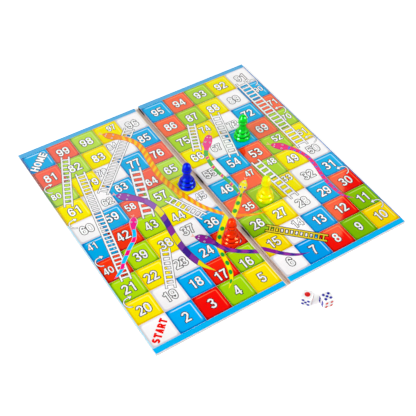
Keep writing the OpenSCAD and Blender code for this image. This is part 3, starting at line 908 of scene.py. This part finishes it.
snakeLooks = {  # gloss: tint of the film's gloss; eye: how far from the snout, in squares
    "orange": {"ground": "#FF8C04", "edge": "#DC7410", "gloss": "#606050", "eye": 0.42},
    "violet": {"edge": "#4A1A70", "gloss": "#A890A0", "layer": "violetSnake", "eye": 0.39},
    "spotted": {"ground": "#FFF000", "edge": "#BCB400", "gloss": "#484810", "layer": "spottedSnake", "eye": 0.385},
    "striped": {"edge": "#4C1868", "gloss": "#C0A8C0", "eye": 0.44},
    "candy": {"edge": "#F4F4F4", "gloss": "#606060", "eye": 0.24, "rim": (0.76, 0.98)},
    "green": {"edge": "#48B060", "gloss": "#A0A080", "eye": 0.41, "edgeFrom": 0.84},
    "magenta": {"ground": "#F4067C", "edge": "#B80860", "gloss": "#906858", "eye": 0.44},
}
bandLooks = {  # pitch in squares, the bands' colors, where the head ends and its color, lean of the bands
    "violet": (0.42, [(0, "#9A34A6"), (0.20, "#9A34A6"), (0.42, "#40289C"), (0.62, "#40289C"), (0.86, "#9A34A6")],
               0.66, "#961E9C", 0.12),
    "green": (0.55, [(0, "#3CB54A"), (0.60, "#FFE030"), (0.66, "#F0308C"), (0.86, "#FFE030"), (0.92, "#3CB54A")],
              0.86, "#F0288C", 0.03),
    "candy": (0.61, [(0, "#00C4FF"), (0.60, "#FF088C")], 0.58, "#F41C90", 0.03),
}
softBands = {"pitch": 0.27, "lean": 2.2, "edge": (-0.3, 0.4), "start": (0.62, 0.80), "color": "#FFD200"}
spotShape = {"across": 1.25, "edge": (0.75, 1.0), "start": (0.64, 0.68)}
spotLooks = {  # pitch and radius in squares, distance from the middle line in half widths, color
    "spotted": (0.40, 0.112, 0.10, "#18A838"),
    "magenta": (0.24, 0.045, 0.55, "#4068E0"),
}
stripes = {
    "length": 5.4,  # squares
    "lean": 0.012,
    "colors": [(0, "#9030A0"), (0.20, "#8A50B0"), (0.30, "#F0E400"), (0.385, "#8048A8"), (0.43, "#4828A0"),
               (0.49, "#9030A0"), (0.565, "#F0E400"), (0.645, "#7838A0"), (0.70, "#402090"), (0.77, "#8030A0"),
               (0.845, "#F0E400")],
}


def snakeInk(kind):
    look = snakeLooks[kind]
    material, tree, place = underFilm(f"{kind}SnakeInk", look["gloss"])
    along, across = attribute(tree, "along"), attribute(tree, "across")
    color = snakePattern(tree, kind, along, across)
    rim = remap(tree, maths(tree, "ABSOLUTE", across), *look.get("rim", snakeBuild["rim"]), smooth=True)
    edgeFrom = look.get("edgeFrom", -1.0)
    rimmed = maths(tree, "MULTIPLY", rim, remap(tree, along, edgeFrom, edgeFrom + snakeBuild["rimStart"]))
    return inked(material, place, mixColor(tree, rimmed, color, look["edge"]), 0.03)


def snakePattern(tree, kind, along, across):
    if kind == "orange":  # bands, soft at their edges
        wave = maths(tree, "MULTIPLY", along, 2 * math.pi / softBands["pitch"])
        sine = maths(tree, "SINE", maths(tree, "MULTIPLY_ADD", across, softBands["lean"], wave))
        band = remap(tree, sine, *softBands["edge"], smooth=True)
        amount = maths(tree, "MULTIPLY", band, remap(tree, along, *softBands["start"]))
        return mixColor(tree, amount, snakeLooks[kind]["ground"], softBands["color"])
    if kind in bandLooks:  # cross bands
        pitch, stops, headEnd, headInk, lean = bandLooks[kind]
        if kind == "violet":  # bands that run to a point along the back
            across = maths(tree, "ABSOLUTE", across)
        shifted = maths(tree, "MULTIPLY_ADD", across, lean, maths(tree, "SUBTRACT", along, headEnd))
        phase = maths(tree, "FRACT", maths(tree, "DIVIDE", shifted, pitch))
        banded = ramp(tree, phase, stops, constant=kind != "violet")
        return mixColor(tree, maths(tree, "GREATER_THAN", along, headEnd), headInk, banded)
    if kind in spotLooks:  # round spots down both sides
        pitch, radius, sideways, spot = spotLooks[kind]
        turns = maths(tree, "DIVIDE", along, pitch)
        nearest = maths(tree, "ROUND", turns)
        run = maths(tree, "MULTIPLY", maths(tree, "SUBTRACT", turns, nearest), pitch / radius)
        centre = remap(tree, maths(tree, "PINGPONG", nearest, 2.0), 0.0, 2.0, -sideways, sideways)
        reach = maths(tree, "MULTIPLY", maths(tree, "SUBTRACT", across, centre), spotShape["across"])
        distance = maths(tree, "MULTIPLY_ADD", reach, reach, maths(tree, "MULTIPLY", run, run))
        inside = remap(tree, distance, *spotShape["edge"], 1.0, 0.0)
        amount = maths(tree, "MULTIPLY", inside, remap(tree, along, *spotShape["start"]))
        return mixColor(tree, amount, snakeLooks[kind]["ground"], spot)
    # striped: wide bands over its whole length
    part = maths(tree, "DIVIDE", along, stripes["length"])
    return ramp(tree, maths(tree, "MULTIPLY_ADD", across, stripes["lean"], part), stripes["colors"], constant=True)


def snakeMesh(name, path, side, top):
    # closed sections across the body, cut off at the half's edges; along is in squares from the first point
    curve = smoothed(path, snakeBuild["steps"])
    columns = snakeBuild["across"]
    section = [2 * k / (columns - 1) - 1 for k in range(columns)]
    verts, along, across = [], [], []
    travelled = 0.0
    for i, (c, r, half) in enumerate(curve):
        before, after = curve[max(i - 1, 0)], curve[min(i + 1, len(curve) - 1)]
        direction = Vector((after[0] - before[0], after[1] - before[1])).normalized()
        if i:
            travelled += math.hypot(c - curve[i - 1][0], r - curve[i - 1][1])
        for level, line in ((top, section), (printTop, section[::-1])):
            for s in line:
                verts.append((*at(side, c - direction.y * half * s, r + direction.x * half * s), level))
                along.append(travelled)
                across.append(s)
    ring = 2 * columns
    last = (len(curve) - 1) * ring
    faces = ringFaces(len(curve), ring)
    for k in range(columns - 1):
        low = ring - 1 - k
        faces += [(k, low, low - 1, k + 1), (last + k, last + k + 1, last + low - 1, last + low)]
    mesh = meshFrom(name, verts, faces)
    setValues(mesh, "along", along)
    setValues(mesh, "across", across)
    return trimToHalf(mesh, side)


def trimToHalf(mesh, side):
    work = bmesh.new()
    work.from_mesh(mesh)
    for bound, direction in zip(sheetBox[side], (-1, 1)):
        geometry = work.verts[:] + work.edges[:] + work.faces[:]
        cut = bmesh.ops.bisect_plane(work, geom=geometry, plane_co=(bound.x, 0, 0), plane_no=(direction, 0, 0),
                                     clear_outer=True)
        edges = [e for e in cut["geom_cut"] if isinstance(e, bmesh.types.BMEdge)]
        if edges:
            bmesh.ops.holes_fill(work, edges=edges)
    work.to_mesh(mesh)
    work.free()
    return outward(mesh)


def snakePlace(name):
    kind = name.split("_")[0]
    return kind, "right" if name.endswith("right") or kind in ("green", "magenta") else "left"


snakeInks = {kind: snakeInk(kind) for kind in snakeLooks}
for name, path in snakes.items():
    kind, side = snakePlace(name)
    slot = next(s["material_slot"] for s in frame["record"]["subparts"] if s["node"] == name)
    mesh = snakeMesh(f"{name}_print", path, side, layerTop(snakeLooks[kind].get("layer", "snake")))
    addPiece(f"{name}_print", mesh, snakeInks[kind], halfBody[side], [name])


snakeFace = {
    "eye": 0.036,  # radii in squares
    "pupil": 0.017,
    "bigEye": 0.058,
    "bigPupil": 0.028,
    "tooth": 0.028,
    "toothFrom": 0.14,  # behind the snout, in squares
    "toothAside": 0.40,  # of the half width
    "eyeAside": 0.52,
    "forkAside": 0.058,
    "tongue": {  # middle of the fork's tips, in squares
        "orange_snake_left": (3.125, 9.645), "striped_snake": (2.06, 6.53), "violet_snake_left": (3.465, 3.315),
        "spotted_snake_right": (6.43, 4.575), "green_snake": (6.655, 7.405), "magenta_snake": (8.15, 5.67),
        "candy_snake": (2.17, 5.24)},
}


def alongSnake(path, distance):
    # place, direction from the snout backwards, and half width at a distance from the snout
    curve = smoothed(path, snakeBuild["steps"])
    travelled = 0.0
    for a, b in zip(curve, curve[1:]):
        run = Vector((b[0] - a[0], b[1] - a[1]))
        if travelled + run.length >= distance:
            t = (distance - travelled) / run.length
            return Vector(a[:2]) + run * t, run.normalized(), a[2] + (b[2] - a[2]) * t
        travelled += run.length
    raise ValueError(distance)


def snakeFaceShapes(name, side, kind):
    path = snakes[name]
    eyes, pupils = [], []
    eye, pupil = ("bigEye", "bigPupil") if kind == "spotted" else ("eye", "pupil")
    marks = [(snakeLooks[kind]["eye"], snakeFace["eyeAside"], eye, eyes),
             (snakeLooks[kind]["eye"], snakeFace["eyeAside"], pupil, pupils)]
    if kind != "candy":
        marks.append((snakeFace["toothFrom"], snakeFace["toothAside"], "tooth", eyes))
    for distance, aside, size, found in marks:
        place, back, half = alongSnake(path, distance)
        normal = Vector((-back.y, back.x)) * half * aside
        radius = snakeFace[size]
        for centre in (place + normal, place - normal):
            found.append(union(toMetres(side, [arc(*centre, radius, radius, 0, 360, 14)[:-1]])))
    snout, tip = Vector(path[0][:2]), Vector(snakeFace["tongue"][name])
    run = tip - snout
    fork = Vector((-run.y, run.x)).normalized() * snakeFace["forkAside"]
    middle = snout + run * 0.5
    lines = [[snout - run.normalized() * 0.03, middle], [middle - run * 0.05, tip + fork],
             [middle - run * 0.05, tip - fork]]
    strokes = [quad for line in lines for quad in ribbon(line, snakeBuild["tongueStroke"])]
    return eyes, pupils, [union(toMetres(side, strokes))]


faceInks = (("eyes", plainInk("snakeEyeWhite", "#D8D4E0", 0.01, "#404040"), "eye", "print_white"),
            ("pupils", plainInk("snakePupil", "#30386C", 0.01, "#404040"), "pupil", "print_white"),
            ("tongues", plainInk("snakeTongue", "#FAAE98", 0.02, "#808080"), "snake", "print_pink"))
faceShapes = {side: ([], [], []) for side in halves}
for name in snakeFace["tongue"]:
    kind, side = snakePlace(name)
    for total, shapes in zip(faceShapes[side], snakeFaceShapes(name, side, kind)):
        total.extend(shapes)
for side in halves:
    for shapes, (kind, ink, layer, slot) in zip(faceShapes[side], faceInks):
        printLayer(f"{side}_snake_{kind}", shapes, layer, ink, side)
print("snakes printed")

# Board stock: greyboard wrapped in white art paper, with taupe vinyl at the fold and a paper liner below

stock = {
    "vinyl": {"Roughness": 0.45, "IOR": 1.54, "Specular IOR Level": 0.12, "Sheen Weight": 0.08,
              "Sheen Roughness": 0.4},
    "vinylGrain": 1.1,  # mm between the creases of the embossed grain, real 0.4, drawn coarser so that it shows
    "vinylDepth": 0.05,  # mm
    "vinylLine": 0.14,  # of the grain, how wide its creases are
    # painted shadow of the pawns and painted shade on the fold's wall, in stretches along it
    "paintedShadowColor": "#24140E",
    "paintedShadowFade": (0.55, 1.1, 0.95, 0.0),  # of the half length, and how dense the painted shadow is there
    "paintedShadows": [(13.5, 7.5), (-60.0, 8.0), (121.0, 9.0)],  # middle and half length of each stretch of painted shadow along the fold, mm
    "liner": {"Roughness": 0.62, "IOR": 1.5},
    "threadPitch": 0.9,  # mm, linen embossing of the liner, real 0.5, drawn coarser so that it shows
    "threadDepth": 0.05,
    "board": {"Roughness": 0.95, "IOR": 1.45},
    "fibre": (0.8, 6.0),  # mm, and its detail
    "fibreDepth": 0.08,  # mm
    "creaseDepth": (0.08, 0.36),  # mm over the table, lower and upper side of the vinyl in the crease
    "creaseSag": 0.05,
    "creaseOverlap": 0.3,  # mm glued into the tape and the spine
    "edging": {"onSheet": 0.42, "over": 0.45, "rise": 0.17, "sink": 0.26, "short": 0.3},  # mm
}


def vinylMaterial(name, light, dark, paintedShadows=()):
    # embossed vinyl: a fine leather grain that scatters the gloss, with painted shadow in stretches along the fold
    material, tree, place = newMaterial(name, stock["vinyl"])
    cells = addNode(tree, "ShaderNodeTexVoronoi", {"Vector": place, "Scale": 1 / (stock["vinylGrain"] * mm)},
                    feature="DISTANCE_TO_EDGE")
    crease = remap(tree, cells.outputs["Distance"], 0.0, stock["vinylLine"], smooth=True)
    color = mixColor(tree, crease, dark, light)
    y = split(tree, place)["Y"]
    # painted shadow, darkest in the middle of each stretch
    for middle, half in paintedShadows:
        away = maths(tree, "ABSOLUTE", maths(tree, "SUBTRACT", y, middle * mm))
        paintedShadow = remap(tree, maths(tree, "DIVIDE", away, half * mm), *stock["paintedShadowFade"], smooth=True)
        color = mixColor(tree, paintedShadow, color, stock["paintedShadowColor"])
    return finished(material, mottled(tree, place, color, 0.05), crease, stock["vinylDepth"])


def linerMaterial(name, color, threadColor):
    # coated paper with a linen embossing: crossed threads, dull
    material, tree, place = newMaterial(name, stock["liner"])
    waves = [addNode(tree, "ShaderNodeTexWave", {"Vector": place, "Scale": 0.314 / (stock["threadPitch"] * mm),
                                                 "Distortion": 0.6, "Detail": 1.0}, bands_direction=axis)
             for axis in ("X", "Y")]
    weave = maths(tree, "MAXIMUM", waves[0].outputs["Fac"], waves[1].outputs["Fac"])
    color = mottled(tree, place, mixColor(tree, weave, color, threadColor), 0.06)
    return finished(material, color, weave, stock["threadDepth"])


def greyboardMaterial(name):
    # recycled board: grey pulp with darker and lighter fibres, rough
    material, tree, place = newMaterial(name, stock["board"])
    fibres = noise(tree, place, *stock["fibre"])
    color = ramp(tree, fibres, [(0.30, "#6F6B66"), (0.50, "#9C978F"), (0.72, "#B9B4AB")])
    return finished(material, color, fibres, stock["fibreDepth"])


# the right copy is darker than the left as painted shade in the gap between the halves, and carries the painted shadows
vinyl = {"left": vinylMaterial("embossedVinylTaupe", "#F6E4DA", "#DAC6BC"),
         "right": vinylMaterial("shadedVinylTaupe", "#D8C2B8", "#B09A90", stock["paintedShadows"])}
boardMaterials = {
    "print_sheet": plainInk("artPaperUnderFilm", "#EFEDEC", 0.02, "#A0A0A0"),
    "back_liner": linerMaterial("linenPaperLiner", "#5A4438", "#6E564A"),
    "core_board": greyboardMaterial("greyboard"),
}
for side in halves:
    repaint(f"{side}_hinge_tape", vinyl[side])
    for part, material in boardMaterials.items():
        repaint(f"{side}_{part}", material)
repaint("spine_strip", vinyl["left"])


def creaseMesh(name, fromX, toX, lowY, highY):
    # thin vinyl between a half's tape and the spine, in strips, sunk a little along its middle
    low, high = (z * mm for z in stock["creaseDepth"])
    steps = 8
    verts = []
    for i in range(steps + 1):
        x = fromX + (toX - fromX) * i / steps
        sag = stock["creaseSag"] * mm * math.sin(math.pi * i / steps)
        verts += [(x, lowY, low - sag), (x, highY, low - sag), (x, highY, high - sag), (x, lowY, high - sag)]
    ends = [(3, 2, 1, 0), tuple(4 * steps + k for k in range(4))]
    return outward(meshFrom(name, verts, ringFaces(steps + 1, 4) + ends))


vinylWhitened = vinylMaterial("stressWhitenedVinyl", "#FFF4DC", "#F0E2CC")
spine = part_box("spine_strip")
overlap = stock["creaseOverlap"] * mm
for side, sign, inner, material in (("left", -1, 1, vinylWhitened), ("right", 1, 0, vinyl["right"])):
    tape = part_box(f"{side}_hinge_tape")
    tapeEdge, spineEdge = tape[inner].x, spine[1 - inner].x
    ends = (max(tape[0].y, spine[0].y), min(tape[1].y, spine[1].y))
    mesh = creaseMesh(f"{side}_spine_crease", tapeEdge + sign * overlap, spineEdge - sign * overlap, *ends)
    crease = addPiece(f"{side}_spine_crease", mesh, material, None)
    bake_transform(crease)


def edgingMesh(name):
    # rounded bead of folded paper along the left half's inner edge, a little wavy, as it was turned by hand
    look = stock["edging"]
    low, high = sheetBox["left"]
    middle = high.x + (look["over"] - look["onSheet"]) / 2 * mm
    half = (look["over"] + look["onSheet"]) / 2 * mm
    start, length = low.y + look["short"] * mm, high.y - low.y - 2 * look["short"] * mm
    count, steps = 10, 60
    verts = []
    for i in range(steps + 1):
        sway = 0.05 * mm * math.sin(i * 1.7) + 0.03 * mm * math.sin(i * 0.61 + 1)
        for k in range(count):
            a = 2 * math.pi * k / count
            verts.append((middle + sway + half * math.cos(a), start + length * i / steps,
                          boardTop + look["rise"] * mm * (1 + math.sin(a)) - look["sink"] * mm))
    ends = [tuple(range(count)), tuple(steps * count + k for k in reversed(range(count)))]
    return outward(meshFrom(name, verts, ringFaces(steps + 1, count) + ends, smooth=True))


addPiece("left_inner_edging", edgingMesh("left_inner_edging"), plainInk("creamPaperEdging", "#F2E6CC", 0.05, "#806040"),
         "left_half")
print("board stock and creases")

# Pawns: turned-looking mouldings with three swelling tiers, a waist, a collar and a domed head

pawns = {
    "outline": [  # radius and height, in parts of the largest radius and of the height
        (.88, .000), (.97, .022), (1.00, .058), (.99, .095), (.93, .130), (.85, .150), (.835, .168), (.87, .195),
        (.865, .235), (.80, .272), (.69, .292), (.635, .308), (.65, .335), (.61, .370), (.55, .400), (.495, .432),
        (.45, .475), (.42, .530), (.41, .580), (.415, .612), (.455, .645), (.535, .675), (.56, .705),
        (.545, .735), (.50, .760), (.485, .775), (.50, .805), (.485, .850), (.44, .900), (.36, .945), (.24, .980),
        (.09, .998)],
    "segments": 96,
    "seam": 0.05,  # mm, ridge where the two sides of the mould met
    "seamAngle": 20,
    "recess": 0.5,  # mm, moulded hollow in the foot
    "shader": {"Roughness": 0.09, "IOR": 1.59, "Specular IOR Level": 0.22, "Subsurface Scale": 0.006},
    "flowSize": 6,  # mm
    "skinSize": (1.6, 2.0),  # mm, and its detail
    "skinDepth": 0.006,  # mm
    "glow": {"yellow": 1.0},  # how much light the pale yellow lets through, which evens out its shading
    "grooveSpan": 2.2,  # mm of outline that a groove is measured over
    "grooveDepth": 0.35,  # mm below that span at which the painted shade is darkest
    "colors": {  # thin and thick parts of the flow, painted shade in the grooves, and tint of the gloss
        "blue": ("#0010F4", "#0004C4", "#00005C", "#3C96FF"),
        "green": ("#00F02C", "#00C816", "#007C08", "#84FFB4"),
        "yellow": ("#FFF200", "#FFEE00", "#FFEC00", "#FFFF60"),
        "red": ("#FF3400", "#FF0C00", "#B80000", "#FFB060"),
    },
}


def grooveAt(profile, i):
    # how much painted shade a ring gets: how far the outline lies inside the line between its neighbours half a span
    # away, from 0 to 1
    r, z = profile[i]
    half = pawns["grooveSpan"] * mm / 2
    radii, heights = zip(*profile[4:])
    if z < half or z > heights[-1] - 2 * half:
        return 0.0
    chord = (np.interp(z - half, heights, radii) + np.interp(z + half, heights, radii)) / 2
    return float(np.clip((chord - r) / (pawns["grooveDepth"] * mm), 0, 1))


def pawnMesh(name, box):
    low, high = box
    axis = (low + high) / 2
    radius = (high.x - low.x) / 2
    height = high.z - low.z
    profile = [(r * radius, z * height) for r, z in smoothed(pawns["outline"], 4)]
    inset = pawns["recess"] * mm
    foot = profile[0][0]
    profile = [(foot * 0.60, inset), (foot * 0.84, inset), (foot * 0.90, 0.08 * mm), (foot * 0.94, 0.0)] + profile
    count, rings = pawns["segments"], len(profile)
    seam = round(pawns["seamAngle"] / 360 * count)
    verts = []
    for r, z in profile:
        for k in range(count):
            a = 2 * math.pi * k / count
            onSeam = k in (seam, seam + count // 2) and 0.2 * mm < z < 0.97 * height
            raised = r + (pawns["seam"] * mm if onSeam else 0)
            verts.append((axis.x + raised * math.cos(a), axis.y + raised * math.sin(a), low.z + z))
    bottom, top, last = len(verts), len(verts) + 1, (rings - 1) * count
    verts += [(axis.x, axis.y, low.z + inset), (axis.x, axis.y, low.z + height)]
    faces = ringFaces(rings, count)
    for k in range(count):
        n = (k + 1) % count
        faces += [(bottom, n, k), (top, last + k, last + n)]
    mesh = meshFrom(name, verts, faces, smooth=True)
    # painted shade in the grooves between the tiers
    setValues(mesh, "grooveShade", [grooveAt(profile, i) for i in range(rings) for k in range(count)] + [0.0, 0.0])
    return mesh


def pawnMaterial(name, glow, lit, deep, grooveShade, gloss):
    # moulded polystyrene: clear gloss over a saturated body, with faint flow marks and painted shade darkening its
    # grooves
    shader = {**pawns["shader"], "Specular Tint": gloss, "Subsurface Weight": glow}
    material, tree, place = newMaterial(name, shader)
    flow = noise(tree, place, pawns["flowSize"], distortion=1.5)
    body = mixColor(tree, remap(tree, flow, 0.3, 0.7, 0.15, 0.55), lit, deep)
    # painted shade in the grooves between the tiers
    color = mixColor(tree, attribute(tree, "grooveShade"), body, grooveShade)
    return finished(material, color, noise(tree, place, *pawns["skinSize"]), pawns["skinDepth"])


for color, look in pawns["colors"].items():
    node = f"{color}_pawn"
    name = f"{node}_moulding"
    material = pawnMaterial(f"{color}Polystyrene", pawns["glow"].get(color, 0.0), *look)
    shinyPieces.objects.link(addPiece(name, pawnMesh(name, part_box(node)), material, node, [node]))
print("pawns moulded")

# Dice: tumbled cubes with drilled pips

dice = {
    "edgeRadius": 1.1,  # mm
    "trim": 0.72,  # radius of the ball that takes off the corners, in edges
    "soften": 0.25,  # mm, how softly ball and cube meet
    "pip": 1.9,
    "bigPip": 4.2,
    "pitch": 2.2,
    "ball": 0.8,  # radius of the drilling ball, in pips
    "redFaces": (1, 4),
    "enamels": {"red": ("#E80C02", "#D00400"), "blue": ("#020EB0", "#020684")},  # thin, and where it pools
    "rimPaint": 0.18,  # mm of enamel around each pip
    "rimSoft": 0.12,  # mm over which it ends
    "grid": 44,
    "search": (0.3, 1.2),  # where the surface is looked for, in half edges
    "halvings": 40,
    "turn": {"left": -141.4, "right": -99.9},
    "faces": {"left": (1, 5, 4, 2, 3, 6), "right": (5, 4, 1, 3, 6, 2)},  # top, front, right, back, left, bottom
    "faceTurns": [(0, 0, 0), (0, 90, 0), (0, 90, 90), (0, 90, 180), (0, 90, 270), (180, 0, 0)],
    # urea resin lets light through a little, which evens out its faces
    "shader": {"Roughness": 0.22, "IOR": 1.56, "Subsurface Weight": 0.7, "Subsurface Radius": (1.0, 1.0, 1.0),
               "Subsurface Scale": 0.004},
    "cloudSize": 3,  # mm
    "scuffs": (0.7, 3.0),  # mm, and their detail
    "scuffDepth": 0.012,  # mm
    "enamelShader": {"Roughness": 0.35, "IOR": 1.5, "Specular IOR Level": 0.2},
    "poolSize": 1.5,  # mm
    "poolDepth": 0.03,  # mm
}
pipGrid = {
    1: [(0, 0)],
    2: [(-1, 1), (1, -1)],
    3: [(-1, 1), (0, 0), (1, -1)],
    4: [(-1, -1), (-1, 1), (1, -1), (1, 1)],
    5: [(-1, -1), (-1, 1), (0, 0), (1, -1), (1, 1)],
    6: [(-1, -1), (0, -1), (1, -1), (-1, 1), (0, 1), (1, 1)],
}


def dieMesh(name, side, box):
    low, high = box
    middle = (low + high) / 2
    edge = (high.z - low.z) / mm
    balls = []
    for face, turn in zip(dice["faces"][side], dice["faceTurns"]):
        rx, ry, rz = (math.radians(v) for v in turn)
        spin = Matrix.Rotation(rz, 3, "Z") @ Matrix.Rotation(ry, 3, "Y") @ Matrix.Rotation(rx, 3, "X")
        size = dice["bigPip"] if face == 1 else dice["pip"]
        ink = "red" if face in dice["redFaces"] else "blue"
        r = size * dice["ball"]
        rise = math.sqrt(r * r - size * size / 4)
        for px, py in pipGrid[face]:
            centre = spin @ Vector((px * dice["pitch"], py * dice["pitch"], edge / 2 + rise))
            balls.append((np.array(centre), r, ink))
    count = dice["grid"]
    line = np.linspace(-1, 1, count + 1)
    u, v = (g.ravel() for g in np.meshgrid(line, line, indexing="ij"))
    w = np.ones_like(u)
    directions = np.concatenate([np.stack(s, axis=1) for s in (
        (u, v, w), (v, u, -w), (w, u, v), (-w, v, u), (v, w, u), (u, -w, v))])
    inner = edge / 2 - dice["edgeRadius"]

    def outside(points):
        q = np.abs(points) - inner
        cube = (np.linalg.norm(np.maximum(q, 0), axis=1) + np.minimum(q.max(axis=1), 0) - dice["edgeRadius"])
        ball = np.linalg.norm(points, axis=1) - dice["trim"] * edge
        k = dice["soften"]
        h = np.clip(0.5 + 0.5 * (ball - cube) / k, 0, 1)
        solid = cube * (1 - h) + ball * h + k * h * (1 - h)
        for centre, r, _ in balls:
            solid = np.maximum(solid, r - np.linalg.norm(points - centre, axis=1))
        return solid

    near, far = (np.full(len(directions), reach * edge / 2) for reach in dice["search"])
    for _ in range(dice["halvings"]):
        half = (near + far) / 2
        out = outside(directions * half[:, None]) > 0
        far = np.where(out, half, far)
        near = np.where(out, near, half)
    points = directions * near[:, None]
    turn = math.radians(dice["turn"][side])
    c, s = math.cos(turn), math.sin(turn)
    verts = [(middle.x + (x * c - y * s) * mm, middle.y + (x * s + y * c) * mm, middle.z + z * mm)
             for x, y, z in points]
    stride = count + 1
    corners = [f * stride * stride + i * stride + j for f in range(6) for i in range(count) for j in range(count)]
    mesh = meshFrom(name, verts, [(a, a + stride, a + stride + 1, a + 1) for a in corners])
    for ink in ("red", "blue"):  # how far the enamel runs up each pip's wall and over its rim
        reach = np.min([np.linalg.norm(points - centre, axis=1) - r for centre, r, own in balls if own == ink], axis=0)
        amount = (dice["rimPaint"] - reach) / dice["rimSoft"] + 0.5
        setValues(mesh, f"{ink}Paint", np.clip(amount, 0, 1))
    outward(mesh, joinWithin=0.001 * mm)
    mesh.shade_smooth()
    return mesh


def dieMaterial():
    # tumbled urea plastic: white, soft gloss, faintly cloudy
    material, tree, place = newMaterial("tumbledUreaWhite", dice["shader"])
    color = mixColor(tree, noise(tree, place, dice["cloudSize"]), "#FDFCFB", "#FFFFFF")
    for ink in ("red", "blue"):
        color = mixColor(tree, attribute(tree, f"{ink}Paint"), color, dice["enamels"][ink][0])
    return finished(material, color, noise(tree, place, *dice["scuffs"]), dice["scuffDepth"])


def enamel(name, color, thick):
    # brushed-in enamel: glossy, a little darker where it pools
    material, tree, place = newMaterial(name, dice["enamelShader"])
    pool = noise(tree, place, dice["poolSize"], 1.0)
    return finished(material, mixColor(tree, pool, color, thick), pool, dice["poolDepth"])


urea = dieMaterial()
enamels = {"red": enamel("redEnamel", *dice["enamels"]["red"]),
           "blue": enamel("navyEnamel", *dice["enamels"]["blue"])}
for side in halves:
    node = f"{side}_die"
    name = f"{node}_tumbled"
    shinyPieces.objects.link(addPiece(name, dieMesh(name, side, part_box(node)), urea, node, [node]))
    for ink, material in enamels.items():
        repaint(f"{node}_{ink}_pips", material)
print("dice made")
